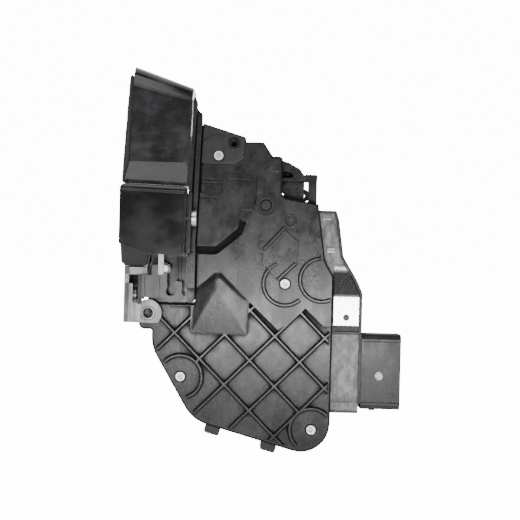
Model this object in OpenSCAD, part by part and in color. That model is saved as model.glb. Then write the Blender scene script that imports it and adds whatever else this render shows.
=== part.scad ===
// Vehicle door latch with its lock actuator.
// X runs towards the connector, Y away from the ribbed cover, Z up.
// The origin is the mouth of the ear's thread.

/* [Actuator cover] */
// Distance of the cover's face behind the ear's face
cover_y = 7; // [5.5:0.5:9]
// Height of the lattice ribs above the cell floors
rib_h = 2.4; // [1.6:0.2:3]
// Width of a rib's top
rib_w = 1; // [0.8:0.1:1.4]
// Spacing of the lattice ribs along X
rib_pitch = 25.1; // [23:0.1:27]
// Thickness of the plastic skins
skin = 2; // [1.6:0.2:2.4]
// Thickness of the side walls
wall = 2.2; // [1.8:0.2:2.6]
// Depth of the cover from its face to the seam
cover_depth = 10; // [9:0.5:12]
// Right edge of the actuator, from the ear's thread
body_right = 92; // [90:0.5:94]
// Lowest corner of the actuator, below the ear's thread
body_low = 73; // [70:0.5:76]
// Top of the cover, above the ear's thread
cover_top = 86.7; // [86:0.1:87.4]
// Left edge of the lower lobe
lobe_left = 1.4; // [0.5:0.1:2]
// Radius of the big corner at the bottom right
corner_r = 14.7; // [10:0.5:16]

/* [Rear housing] */
// Depth of the rear housing behind the seam
housing_depth = 22; // [20:0.5:25]
// Height of the ribs on the back
back_rib_h = 1.6; // [1:0.2:2.4]
// Distance of the wire channel's rim behind the cover's face
channel_drop = 5.5; // [4.5:0.5:7]
// Depth of the wire channel
channel_depth = 4.5; // [4:0.5:5]
// Thickness of the wire channel's outer wall
channel_wall = 1.3; // [1:0.1:1.8]
// Width of a snap tab
tab_w = 8; // [6:0.2:9]

/* [Connector] */
// Length of the connector shell
shell_l = 20; // [16:0.5:24]
// Height of the connector shell
shell_h = 38; // [36:0.5:39]
// Depth of the connector shell
shell_d = 21; // [18:0.5:23]
// Thickness of the connector shell
shell_wall = 2; // [1.6:0.1:2.4]
// Contact pins in one row
pins_per_row = 6; // [4:1:7]
// Spacing of the contact pins
pin_pitch = 4.4; // [4:0.1:4.8]
// Width of a contact pin
pin_w = 1.2; // [0.8:0.1:1.5]

/* [Latch plates] */
// Distance from the ear's thread to the outer face of the latch plate
head_reach = 12.4; // [12:0.1:13]
// Thickness of the latch plate
plate_t = 2.4; // [2:0.1:2.6]
// Width of the latch plate
plate_w = 54; // [54:0.5:56]
// Top of the latch plate above the ear's thread
plate_top = 60; // [60:0.5:62]
// Bottom of the latch plate below the ear's thread
plate_low = 4.9; // [4.6:0.1:5.4]
// Radius of the threaded ear
ear_r = 6.8; // [5.5:0.1:7.2]
// Core radius of the M6 threads
thread_r = 2.5; // [2.4:0.05:2.6]
// Length of the threaded collars
thread_l = 6; // [5:0.5:6.5]
// Thickness of the back plate
back_t = 2; // [1.6:0.1:2.2]

/* [Claw and pawl] */
// Height of the striker mouth above the ear's thread
mouth_z = 32; // [31.5:0.1:32.5]
// Half of the height of the striker mouth
mouth_r = 6.5; // [6:0.1:7]
// Depth at which the striker is held
striker_y = 30; // [29.5:0.1:30.5]
// Distance from the claw's pivot to the striker
claw_arm = 17; // [16.8:0.1:17.2]
// Radius of the claw's slot
slot_r = 5.7; // [5.4:0.1:5.9]
// Thickness of the steel of the claw and pawl
claw_t = 5.6; // [5:0.1:6]
// Turn of the claw from open to closed
claw_turn = 55; // [50:1:57]
// Turn of the pawl from released to engaged
pawl_turn = 20; // [19:0.5:22]
// Radius of the claw's pivot pin
claw_pin_r = 4; // [3.5:0.1:4.4]
// Radius of the pawl's pivot pin
pawl_pin_r = 3.2; // [3:0.1:3.6]
// Gap between the flat faces of parts that turn
side_gap = 0.4; // [0.3:0.05:0.5]
// Radial clearance on the pivot pins
pin_gap = 0.05; // [0.03:0.01:0.08]

/* [Latch box and hood] */
// Distance of the box's face in front of the ear
box_front = 9; // [8:0.5:10]
// Right side of the latch box
box_right = 18; // [17.5:0.1:18.4]
// Left side of the latch box
box_left = -14.5; // [-15:0.1:-13.8]
// Top of the latch box
box_top = 63.5; // [62.8:0.1:63.8]
// Bottom of the latch box
box_low = 28.6; // [28:0.1:29.2]
// Top left corner of the hood above the ear's thread
hood_top = 122.3; // [118:0.1:124]
// Depth of the hood
hood_d = 35.5; // [32:0.5:38]
// Radius of the hood's top front edge at its left end
hood_r = 12.6; // [11:0.2:13.4]
// Depth of the foam strip's opening rim
foam_rim = 4; // [3:0.5:5]

/* [Levers] */
// Thickness of the steel levers
lever_t = 2; // [1.6:0.1:2.4]
// Turn of the worm wheel between its stops
wheel_turn = 90; // [60:5:100]
// Radius of the lock hub in the cover
hub_r = 4; // [3.4:0.1:4.5]
// Radius of the release lever's cable eye
eye_r = 2.2; // [1.8:0.1:2.4]
// Radius of the release lever's pin
release_pin_r = 1.2; // [1:0.1:1.6]

/* [Drive] */
// Teeth on the worm wheel
wheel_teeth = 30; // [24:1:34]
// Radius of the worm wheel over its teeth
wheel_r = 14; // [12:0.5:15]
// Thickness of the worm wheel
wheel_t = 6; // [5:0.5:8]
// Outer radius of the worm
worm_r = 4; // [3.4:0.1:4.4]
// Length of the lock motor
motor_l = 27; // [24:0.5:29]
// Radius of the lock motor
motor_r = 10; // [8:0.5:10.5]

/* [Fasteners] */
// Radius of the screw heads
screw_r = 2.3; // [2:0.1:2.8]
// Height of the screw heads
screw_h = 1.4; // [1:0.1:1.8]
// Radius of the screw shanks
shank_r = 1.3; // [1.1:0.1:1.5]
// Radius of the spine rivet's head
rivet_r = 4.4; // [3.8:0.1:5]

/* [Hidden] */
$fn = 48;
fit = 0.3;
seat = 0.02;

// Outline helpers: a corner is [x, z, radius]
function xy(p) = [p.x, p.y];
function unit(v) = v / norm(v);
function at(list, i) = list[(i + len(list)) % len(list)];
function bend(a, b, c, r, n) =
    let (u = unit(a - b), v = unit(c - b), half = acos(u * v) / 2)
    let (mid = b + unit(u + v) * r / sin(half))
    let (p = b + u * r / tan(half) - mid, q = b + v * r / tan(half) - mid)
    let (a0 = atan2(p.y, p.x), sweep = (atan2(q.y, q.x) - a0 + 540) % 360 - 180)
    [for (i = [0:n]) mid + r * [cos(a0 + sweep * i / n), sin(a0 + sweep * i / n)]];
function rounded(path, n = 6) = [
    for (i = [0:len(path) - 1])
        each path[i].z > 0
            ? bend(xy(at(path, i - 1)), xy(path[i]), xy(at(path, i + 1)), path[i].z, n)
            : [xy(path[i])]
];
// Moves every side of an outline inwards by d
function shrink(path, d) = [
    for (i = [0:len(path) - 1])
        let (b = xy(path[i]), u = unit(b - xy(at(path, i - 1))), v = unit(xy(at(path, i + 1)) - b))
        let (m = [-u.y, u.x], n = [-v.y, v.x], p = b + d * (m + n) / (1 + m * n))
        let (turn = u.x * v.y - u.y * v.x)
        [p.x, p.y, path[i].z > 0 ? max(0.2, path[i].z - sign(turn) * d) : 0]
];
function shift(path, v) = [for (p = path) [p.x + v.x, p.y + v.y, p.z]];
function turned(path, a) = [
    for (p = path) [p.x * cos(a) - p.y * sin(a), p.x * sin(a) + p.y * cos(a), p.z]
];

// Solids drawn from outlines and axes: slab and rod_y along Y, bar_x and rod_x along X
module slab(points, y0, y1) {
    translate([0, y1, 0]) rotate([90, 0, 0]) linear_extrude(y1 - y0) polygon(points);
}
module bar_x(points, x0, x1) {
    translate([x0, 0, 0]) rotate([90, 0, 90]) linear_extrude(x1 - x0) polygon(points);
}
module rod_y(p, r, y0, y1) {
    translate([p.x, y1, p.y]) rotate([90, 0, 0]) cylinder(r = r, h = y1 - y0);
}
module rod_x(p, r, x0, x1) {
    translate([x0, p.x, p.y]) rotate([0, 90, 0]) cylinder(r = r, h = x1 - x0);
}
module block(low, high) {
    translate(low) cube(high - low);
}
module bar(p, q, w, y0, y1) {
    translate([p.x, y0, p.y]) rotate([0, -atan2(q.y - p.y, q.x - p.x), 0])
        translate([0, 0, -w / 2]) cube([norm(q - p), y1 - y0, w]);
}
// Ribs with drafted sides, straight or round: rib_w wide at y0 and foot wide at y1
module rib(p, q, foot, y0, y1) {
    translate([p.x, 0, p.y]) rotate([0, -heading(p, q), 0])
        bar_x([[y0, -rib_w / 2], [y1, -foot / 2], [y1, foot / 2], [y0, rib_w / 2]], 0, norm(q - p));
}
module rib_arc(c, r, foot, a0, a1, y0, y1) {
    top = rib_w / 2;
    translate([c.x, y1, c.y]) rotate([90, 0, 0]) rotate([0, 0, a0]) rotate_extrude(angle = a1 - a0)
        polygon([[r - foot / 2, 0], [r + foot / 2, 0], [r + top, y1 - y0], [r - top, y1 - y0]]);
}
module ring_y(c, r_out, r_in, y0, y1) {
    difference() {
        rod_y(c, r_out, y0, y1);
        rod_y(c, r_in, y0 - 1, y1 + 1);
    }
}

// Levels of the actuator along Y
cell_y = cover_y + rib_h;
panel_y = cover_y - 0.4;
rib_foot = rib_w + 0.6 * rib_h;
edge_step = 0.8;
seat_depth = 0.8;
seam_y = cover_y + cover_depth;
back_y = seam_y + housing_depth;
inner_back = back_y - skin;
channel_rim = cover_y + channel_drop;
channel_floor = channel_rim + channel_depth;

// Outline of the cover, counter-clockwise from the tongue behind the ear
function heading(p, q) = atan2(q.y - p.y, q.x - p.x);
function edge_z(p, q, x) = p.y + (q.y - p.y) * (x - p.x) / (q.x - p.x);
tongue_left = -5.3;
tongue_low = -8.5;
shelf_z = 5;
upper_left = 22.6;
low_left = [22.8, 19.3 - body_low];
low_right = [body_right, -body_low];
ledge_left = [65, 59.5];
ledge_right = [body_right - 8.5, 56.4];
cover_path = [
    [tongue_left, shelf_z, 0.8], [tongue_left, tongue_low, 3], [lobe_left, tongue_low, 0.6],
    [lobe_left, -17.3, 20], [low_left.x, low_left.y, 20], [low_right.x, low_right.y, corner_r],
    [body_right, 20.5, 3],
    [body_right - 4.4, 28, 8], [ledge_right.x, ledge_right.y, 0.6], [ledge_left.x, ledge_left.y, 3],
    [ledge_left.x, cover_top - 6.9, 1.6], [60, cover_top - 6.9, 0.8], [55.4, cover_top, 1.2],
    [46.3, cover_top, 0.4], [46.3, cover_top + 2.4, 1.2],
    [24.6, cover_top + 8.9, 0.6], [upper_left, 32, 0], [upper_left, shelf_z, 1]
];

// Places of the screws, the hub and the round ribs
screw_plate = [32.9, 79.1];
screw_mid = [67.6, 16];
screw_left = [16.3, 41.1 - body_low];
screw_corner = [body_right - 9.5, 16 - body_low];
cover_screw_places = [screw_mid, screw_left, screw_corner];
hub_at = [57.1, 55];
dial_at = [69.7, 47.5];
arc_r = 10.8;
side_arc = [body_right - 6.1, 18.3];
post_r = 3.6;

// Places in the latch head, as [y, z]
claw_at = [striker_y, mouth_z + claw_arm];
pawl_at = [24, 12];
plate_in = -head_reach + plate_t;
claw_x0 = plate_in + side_gap;
claw_x1 = claw_x0 + claw_t;
coat_t = 0.8;
back_x0 = claw_x1 + coat_t + side_gap;
back_x1 = back_x0 + back_t;
box_x0 = back_x1 + seat;
plate_threads = [[9, plate_top - 7], [9, 8.6], [plate_w - 7, 10]];

claw_path = [
    [slot_r, -22, 1], [12.5, -18.5, 3], [13.2, -5, 5], [9.2, 8.6, 7], [-9.2, 8.6, 7], [-12, -6, 5],
    [-15.5, -21.9, 1.2], [-slot_r, -18.6, 1.2], [-slot_r, slot_r - claw_arm, slot_r - 0.1],
    [slot_r, slot_r - claw_arm, slot_r - 0.1]
];
pawl_path = [
    [-4.2, 16.4, 0.8], [-9, 14.7, 0.8], [-7.6, 4, 6], [-6, -5.2, 5], [5, -5.6, 4], [15.5, -2.2, 1.5],
    [15.5, 1.6, 1.5], [5.4, 4.2, 3]
];

// Levers seen from the cover's side, as [x, z]
release_at = [8.2, 22.2];
release_eye = [11.2, 11.1];
release_y = -4;
release_path = [
    [-3, 7.8, 0], [6.8, 7.8, 1.5], [11.2, 5.2, 3], [16, 7.2, 1], [17.8, 8.8, 0.6], [16.5, 11, 0.3],
    [17, 12.7, 0.5], [16.7, 15.9, 0.5], [13, 16.6, 0.6], [13, 15, 0], [9.35, 15, 0], [9.3, 25.2, 0.6],
    [7.2, 25.2, 0.6], [7.2, 24, 0], [1.7, 24, 0.4], [1.7, 19, 0.3], [-3, 19, 0]
];

// Drive train inside the housing, as [x, z]
drive_y = seam_y + 9;
worm_z = -38;
worm_x0 = 59;
worm_l = 13;
motor_gap = 6.5;
motor_flat = 7.6;
motor_x0 = worm_x0 - motor_gap - motor_l;
wheel_at = [worm_x0 + worm_l / 2, worm_z + worm_r + wheel_r + fit];
lock_at = [44, 14];
lock_y = drive_y - wheel_t / 2 - lever_t - 1;
crank_y = lock_y + lever_t + 0.6;
crank_t = 2.6;

// The wheel's pin runs in the lock lever's slot, and the lever's own pin runs in the hub's slot
drive_pin_at = 8;
drive_pin_r = 1.8;
upper_reach = 30;
upper_pin_r = 1.5;
slot_gap = 0.6;
function polar(r, a) = r * [cos(a), sin(a)];
wheel_span = norm(wheel_at - lock_at);
hub_span = norm(hub_at - lock_at);
lock_swing = atan(drive_pin_at * sin(wheel_turn / 2) / (wheel_span - drive_pin_at * cos(wheel_turn / 2)));
hub_swing = atan(upper_reach * sin(lock_swing) / (hub_span - upper_reach * cos(lock_swing)));
pin_angle = heading(wheel_at, lock_at) - wheel_turn / 2;
lower_angle = heading(lock_at, wheel_at) + lock_swing;
upper_angle = heading(lock_at, hub_at) + lock_swing;
crank_angle = heading(hub_at, lock_at) - hub_swing;

module front_cover() {
    deck = rounded([
        [20.7, -9.7, 0.4], [49.2, -10.3, 0.6], [49.9, 6.6, 0.4], [64.7, -7.5, 0.6], [74.9, 0.5, 1],
        [77.4, 4.6, 0.6], [87.3, -4.9, 0.6], [98, -4.9, 0], [98, 99, 0], [10, 99, 0],
        [10, shelf_z - 1.4, 0], [20.7, shelf_z - 1.4, 0.4]
    ], 4);
    color("#2a2a2c") difference() {
        union() {
            slab(rounded(cover_path, 8), cell_y + edge_step, seam_y);
            slab(rounded(shrink(cover_path, edge_step), 8), cell_y, cell_y + edge_step + 0.1);
            intersection() {
                slab(rounded(shrink(cover_path, edge_step + 0.05), 8), cover_y, cell_y + 0.1);
                slab(deck, cover_y - 1, cell_y + 1);
            }
            lattice();
            screw_rings();
            hex_panel();
            left_block();
            blister();
        }
        difference() {
            slab(rounded(shrink(cover_path, wall)), cell_y + skin, seam_y + 1);
            for (p = cover_screw_places) rod_y(p, post_r, cell_y, seam_y + 2);
        }
        for (p = cover_screw_places) rod_y(p, shank_r + 0.1, 0, seam_y + 1);
        for (p = [screw_left, screw_corner]) rod_y(p, screw_r + 0.6, 0, cell_y + seat_depth);
        rod_y(screw_mid, screw_r + 0.6, 0, cover_y + seat_depth);
        rod_y(screw_plate, shank_r + 0.1, 0, seam_y + 1);
        rod_y(hub_at, hub_r + pin_gap, 0, seam_y + 1);
        groove();
        trim_lines();
    }
}

// Diamond lattice of raised ribs in the lower half
module lattice() {
    reach = 90;
    intersection() {
        slab(rounded(shrink(cover_path, 1.8)), cover_y, cell_y + 0.1);
        block([-10, 0, -80], [98, 30, 8]);
        difference() {
            union() {
                for (k = [0:3]) {
                    c = (3.2 + 24.8 * rib_pitch / 25.1 * k) / 2;
                    rib([c - reach, c + reach], [c + reach, c - reach], rib_foot, cover_y, cell_y + 0.1);
                }
                for (k = [0:4]) {
                    c = (22.8 + 25.4 * rib_pitch / 25.1 * k) / 2;
                    rib([c - reach, -c - reach], [c + reach, -c + reach], rib_foot, cover_y, cell_y + 0.1);
                }
            }
            for (p = [screw_left, screw_corner]) rod_y(p, arc_r, 0, 30);
        }
    }
}

// Round ribs that stiffen the cover around its screws
module screw_rings() {
    intersection() {
        slab(rounded(shrink(cover_path, 1.5)), 0, cell_y + 0.1);
        union() {
            rib_arc(screw_left, arc_r, rib_foot, -72, 138, cover_y, cell_y + 0.1);
            rib_arc(screw_corner, arc_r, rib_foot, 42, 227, cover_y, cell_y + 0.1);
            rib_arc(screw_mid, arc_r, rib_foot - 0.3, 114, 313, cover_y - 1, cover_y + 0.1);
            rib_arc(side_arc, arc_r, rib_foot - 0.3, 93, 297, cover_y - 1, cover_y + 0.1);
        }
    }
}

// Flat six-sided panel with a bar rib on two of its sides
module hex_panel() {
    slab([[56.2, 32.7], [55.7, 25.8], [64, 18], [73, 25.1], [73.9, 37.2], [66.5, 43.5]], panel_y, cell_y);
    rib([56.7, 33.2], [66.6, 43.9], 1.9, panel_y - 0.9, panel_y + 0.1);
    rib([64, 18.1], [72.6, 26.3], 1.9, panel_y - 0.9, panel_y + 0.1);
    rod_y(hub_at, hub_r + 2, panel_y, cell_y);
    ring_y(dial_at, 3.2, 2.7, cover_y - 0.25, cell_y);
}

// Raised block at the left, above the deep groove
module left_block() {
    intersection() {
        slab(rounded(shrink(cover_path, 0.4)), 0, cell_y);
        slab(rounded([
            [upper_left, 33.9, 0], [32.5, 33.9, 2], [43.6, 44.2, 3], [44.6, 52, 0], [50.6, 53, 1],
            [50.6, 70, 1], [35, 70, 0.5], [35, 60.4, 0.5], [upper_left, 60.4, 0]
        ], 4), cover_y - 1.4, cell_y);
    }
    slab(rounded([[57.6, 71.8, 2], [63.9, 71.8, 2], [63.9, 78.2, 2], [57.6, 78.2, 2]]), cover_y - 1.6, cell_y);
}

// Deep groove that bounds the raised block
module groove() {
    slab(rounded([
        [21, 30, 0], [32.8, 29.8, 3], [45.6, 40.4, 4], [47.4, 46.4, 0], [44.3, 47.6, 0],
        [43.5, 43.4, 4], [32.6, 33.7, 3], [21, 33.7, 0]
    ], 4), cover_y - 3, cell_y + 0.6);
}

// Fine grooves across the block and the deck above it
module trim_lines() {
    block([24.2, cover_y - 2, 66.6], [34.4, cover_y + 0.6, 67.3]);
    block([24.2, cover_y - 2, 64.9], [34.4, cover_y + 0.6, 65.6]);
    block([24, cover_y - 2, 57.6], [32.6, cover_y - 0.8, 58.3]);
    block([36.6, cover_y - 2, 66.9], [49.2, cover_y - 0.9, 67.5]);
    block([51.6, cover_y - 2, 55], [52.2, cover_y + 0.5, 69.4]);
}

// Smooth blister over the lever below the deep groove
module blister() {
    edge = [[21, -9.2], [48.8, -9.8], [49.3, 6.8], [35.6, 20.6], [32.6, 20.6], [23, 12.2], [22.7, 5]];
    slab(edge, cover_y - 0.45, cell_y);
    hull() {
        slab([for (p = edge) p + 0.7 * unit([34.5, 2] - p)], cover_y - 0.5, cell_y);
        slab([[33.4, 19.2], [35, 19.2], [34.9, 12], [33.5, 12]], cover_y - 1.7, cell_y);
    }
}

module rear_housing() {
    outline = rounded(cover_path);
    color("#242426") difference() {
        union() {
            slab(outline, seam_y + seat, back_y);
            difference() {
                union() {
                    connector_base();
                    snap_tabs();
                }
                slab(rounded(shrink(cover_path, -0.05)), 0, seam_y + seat);
            }
            back_ribs();
        }
        difference() {
            slab(rounded(shrink(cover_path, wall)), seam_y - 1, inner_back);
            for (x = [motor_x0 + 3, motor_x0 + motor_l - 5]) difference() {
                block([x, drive_y - 2, worm_z - motor_r - 2], [x + 2, back_y, worm_z + motor_r + 2]);
                bar_x(motor_section(fit), motor_x0, motor_x0 + motor_l);
            }
            for (p = cover_screw_places) rod_y(p, post_r, seam_y - 2, back_y);
            for (p = [wheel_at, lock_at]) rod_y(p, 3, inner_back - 5, back_y);
        }
        for (p = cover_screw_places) rod_y(p, shank_r - 0.2, seam_y - 1, seam_y + 12);
        rod_y(hub_at, hub_r + pin_gap, seam_y, back_y + 6);
        for (p = [wheel_at, lock_at]) rod_y(p, 2 + seat, inner_back - 6, back_y - 0.6);
        block([body_right - 4, drive_y - 5, -41.5], [connector_x + 1, drive_y + 5, -14]);
    }
}

// Open trough at the housing's side that leads the wires down to the connector
connector_x = body_right + 15.4;
connector_z = -27.7;
channel_low = -8.75;
channel_path = [
    [body_right - 12, 53.4, 0], [body_right - 12, channel_low, 0], [connector_x - 0.4, channel_low, 0.6],
    [connector_x - 0.4, 12, 3], [body_right + 12.2, 18.4, 3], [body_right + 4.9, 30.4, 4],
    [body_right + 2.3, 48.9, 3], [body_right + 0.8, 53.4, 1]
];
module wire_tray() {
    color("#242426") difference() {
        slab(rounded(channel_path), channel_rim, back_y - 6);
        slab(rounded(shrink(cover_path, -0.05)), 0, back_y);
        intersection() {
            slab(rounded(shrink(channel_path, channel_wall)), channel_rim - 1, channel_floor + 1);
            bar_x(concat(ramp, [[channel_rim - 2, ramp_low], [channel_rim - 2, 60], [channel_floor, 60]]), 70, 120);
        }
        slab(rounded(shrink(channel_path, skin)), channel_floor + skin, back_y);
        block([body_right + 1, channel_rim - 1, ramp_low - 2.6],
            [connector_x - channel_wall - 0.4, channel_rim + 1.8, ramp_low + 0.1]);
    }
}
// Floor of the channel, which rises in a ramp towards the connector, as [y, z]
ramp_low = -4.8;
ramp = rounded([
    [channel_floor, 30, 0], [channel_floor, 22.5, 8], [channel_rim + 1.2, 11, 8], [channel_rim + 1.2, ramp_low, 0]
], 8);

// Bright plate bent over the ramp, with two pads further up the channel
module channel_plate() {
    t = 0.8;
    color("#c9c9c6") {
        difference() {
            intersection() {
                slab(rounded(shrink(channel_path, channel_wall + 0.3)), channel_rim - 2, channel_floor);
                bar_x(concat([for (p = ramp) p - [seat, 0]],
                    [for (k = [len(ramp) - 1:-1:0]) ramp[k] - [t, 0]]), body_right + 0.6, connector_x - 0.6);
                block([80, 0, ramp_low + 0.3], [120, 40, 25.5]);
            }
            rod_y([body_right + 7, -0.3], 1.5, 0, 40);
        }
        for (p = [[88.2, 50.2], [90.7, 33.6]])
            block([p.x - 2, channel_floor - 0.6, p.y - 1.2], [p.x + 2, channel_floor - seat, p.y + 1.2]);
    }
}

// Block and flange that carry the connector shell
module connector_base() {
    base_y = drive_y - shell_d / 2;
    block([body_right - 2, base_y + 1.5, -43], [connector_x - 1.4, base_y + shell_d - 1.5, -9]);
    block([connector_x - 1.4, base_y, connector_z - shell_h / 2 + 3], [connector_x, base_y + shell_d, -8.8]);
    rod_x([base_y + 6.4, -44.6], 4.9, body_right - 3, connector_x - 1);
}

// Snap tabs under the bottom edge
module snap_tabs() {
    outline = rounded([[-tab_w / 2, -4.6, 1.4], [tab_w / 2, -4.6, 1.4], [tab_w / 2, 1, 0], [-tab_w / 2, 1, 0]], 4);
    for (x = [33.4, 61.8]) {
        translate([x, 0, edge_z(low_left, low_right, x) + 0.1])
            rotate([0, -heading(low_left, low_right), 0]) difference() {
                slab(outline, seam_y - 3, seam_y + 7);
                block([-tab_w / 2 + 1.6, seam_y - 1, -3], [tab_w / 2 - 1.6, seam_y + 8, -0.6]);
                block([-tab_w / 2 - 1, seam_y - 4, -0.6], [tab_w / 2 + 1, seam_y, 2]);
            }
    }
}

// Ribs and bulges on the back
module back_ribs() {
    deep = back_y + back_rib_h;
    intersection() {
        slab(rounded(shrink(cover_path, 1.2)), back_y - 1, deep);
        union() {
            for (k = [0:3]) bar([10 + 18 * k, -70], [10 + 18 * k, 96], 1.6, back_y - 1, deep);
            for (k = [0:5]) bar([-10, -46 + 24 * k], [100, -46 + 24 * k], 1.6, back_y - 1, deep);
        }
    }
    rod_y(wheel_at, wheel_r + 2, back_y - 1, deep);
    rod_y(hub_at, hub_r + 3, back_y - 1, back_y + 2.4);
    for (p = cover_screw_places) rod_y(p, post_r + 1, back_y - 1, deep);
}

module connector_shell() {
    y0 = drive_y - shell_d / 2;
    y1 = drive_y + shell_d / 2;
    z0 = connector_z - shell_h / 2;
    z1 = connector_z + shell_h / 2;
    outer = [[y0, z0, 2.4], [y1, z0, 2.4], [y1, z1, 2.4], [y0, z1, 2.4]];
    color("#1d1d1f") difference() {
        union() {
            bar_x(rounded(outer), connector_x + seat, connector_x + shell_l);
            block([connector_x + 5, drive_y - 3, z0 - 1.2], [connector_x + 8, drive_y + 3, z0 + 1]);
            for (z = [z0 + 2.2, z1 - 3.4])
                block([connector_x + seat, y0 - 0.6, z], [connector_x + shell_l, y0 + 1, z + 1.2]);
        }
        bar_x(rounded(shrink(outer, shell_wall)), connector_x + 3, connector_x + shell_l + 1);
        for (p = pin_places) block([connector_x - 1, p.x - pin_w / 2 - seat, p.y - pin_w / 2 - seat],
            [connector_x + 4, p.x + pin_w / 2 + seat, p.y + pin_w / 2 + seat]);
    }
}

pin_places = [
    for (row = [-1, 1]) for (k = [0:pins_per_row - 1])
        [drive_y + row * 2.6, connector_z + (k - (pins_per_row - 1) / 2) * pin_pitch]
];
module connector_pins() {
    color("#c9b26a") for (p = pin_places) block(
        [body_right - 5, p.x - pin_w / 2, p.y - pin_w / 2],
        [connector_x + shell_l - 6, p.x + pin_w / 2, p.y + pin_w / 2]);
}

// Bracket for a cable, behind the upper right of the cover, standing on the housing's sloping ledge
bracket_y = seam_y + 3;
function ledge(x) = edge_z(ledge_left, ledge_right, x) + 0.05;
module cable_bracket() {
    deep = bracket_y + 9;
    foot_left = ledge_left.x + 0.05;
    color("#202022") union() {
        slab(rounded([
            [foot_left, ledge(foot_left) + 3.4, 0], [68.6, ledge(68.6), 0], [76.6, ledge(76.6), 0.4],
            [76.6, 68.6, 0.4], [foot_left, 68.6, 0]
        ], 3), bracket_y + 4, deep);
        slab(rounded([
            [foot_left, 68.2, 0], [83, 68.2, 0.5], [83, 71.8, 0.8], [77.2, 71.8, 0.5], [76.4, 71.2, 0.5],
            [73.9, 74.6, 3], [68.4, 77.6, 3], [foot_left, 78.6, 0.3], [foot_left, 73.6, 0], [69.4, 72.6, 2],
            [72, 70, 1], [foot_left, 69.8, 0]
        ], 4), bracket_y, deep);
        slab([[78.6, ledge(78.6)], [82.9, ledge(82.9)], [82.9, 69], [78.6, 69]], bracket_y, deep);
        slab([[foot_left, 69], [74, 69], [72, 73], [foot_left, 75]], deep - 2.4, deep - 0.4);
    }
}

// Plate screwed on the top left of the cover
plate_path = [
    [24.4, 75.2, 0.4], [41.2, 75, 4], [45.4, 78.2, 2], [45.8, 86.4, 0.3], [45.8, 88.7, 1.4], [25.1, 95, 0.6]
];
module upper_plate() {
    low = cover_y - seat;
    color("#2e2e30") difference() {
        union() {
            slab(rounded(plate_path), low - 2.2, low);
            intersection() {
                slab(rounded(shrink(plate_path, 0.5)), 0, low);
                union() {
                    rib_arc(screw_plate, 9.6, 1.8, 80, 250, low - 2.9, low - 2.1);
                    block([35.4, low - 2.8, 60], [50, low - 1, 96]);
                }
            }
        }
        rod_y(screw_plate, screw_r + 0.6, 0, low - 2.2 + seat_depth);
        rod_y(screw_plate, shank_r + 0.1, 0, seam_y);
        rod_y(ring_at, 1.5, 0, seam_y);
    }
}
ring_at = [40.5, 85];
module ring_stud() {
    color("#19191b") ring_y(ring_at, 2.9, 1.5, cover_y - 4.8, cover_y - 2.8 - 2 * seat);
}

// Outline with round ends around the line between two distances from p
function capsule(p, angle, r0, r1, half) = concat(
    [for (a = [90:15:270]) p + polar(r0, angle) + polar(half, angle + a)],
    [for (a = [-90:15:90]) p + polar(r1, angle) + polar(half, angle + a)]
);
// Straight arm with a slot for a pin, from its pivot at p to the slot between r0 and r1
module arm(p, angle, r0, r1, slot_half, edge, y0, y1) {
    difference() {
        slab(capsule(p, angle, 0, r1, slot_half + edge), y0, y1);
        slab(capsule(p, angle, r0, r1, slot_half), y0 - 1, y1 + 1);
    }
}

module lock_hub() {
    color("#1c1c1e") {
        difference() {
            rod_y(hub_at, hub_r, panel_y - 0.4, back_y + 6);
            ring_y(hub_at, hub_r - 1, hub_r - 1.5, panel_y - 1, panel_y + 0.2);
        }
        arm(hub_at, crank_angle, 12, 17.6, upper_pin_r + slot_gap, 2, crank_y, crank_y + crank_t);
    }
}

module screw(p, face_y, l) {
    difference() {
        union() {
            rod_y(p, screw_r, face_y - screw_h, face_y - seat);
            rod_y(p, shank_r - 0.25, face_y - 0.5, face_y + l);
        }
        for (a = [0, 60, 120]) translate([p.x, face_y - screw_h - 0.1, p.y]) rotate([0, a, 0])
            translate([-screw_r * 0.5, 0, -0.35]) cube([screw_r, 0.8, 0.7]);
    }
}
module cover_screws() {
    color("#c8c8c4") {
        screw(screw_plate, cover_y - 2.2 - seat + seat_depth, cover_depth);
        screw(screw_mid, cover_y + seat_depth, cover_depth + 8);
        for (p = [screw_left, screw_corner]) screw(p, cell_y + seat_depth, cover_depth + 5);
    }
}

// Hood above the latch head, open towards the door's end panel
hood_y = 2.5 - box_front;
hood_back = hood_y + hood_d;
hood_left = -9.3;
hood_slope = 0.36;
hood_knee = 74.3;
hood_path = [
    [-10.8, box_top + 0.2, 0.3], [18.3, box_top - 0.7, 0.5], [20.1, hood_top - 8, 0],
    [hood_left + 0.2, hood_top + 4, 0], [hood_left - 0.9, hood_knee, 0]
];
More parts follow.
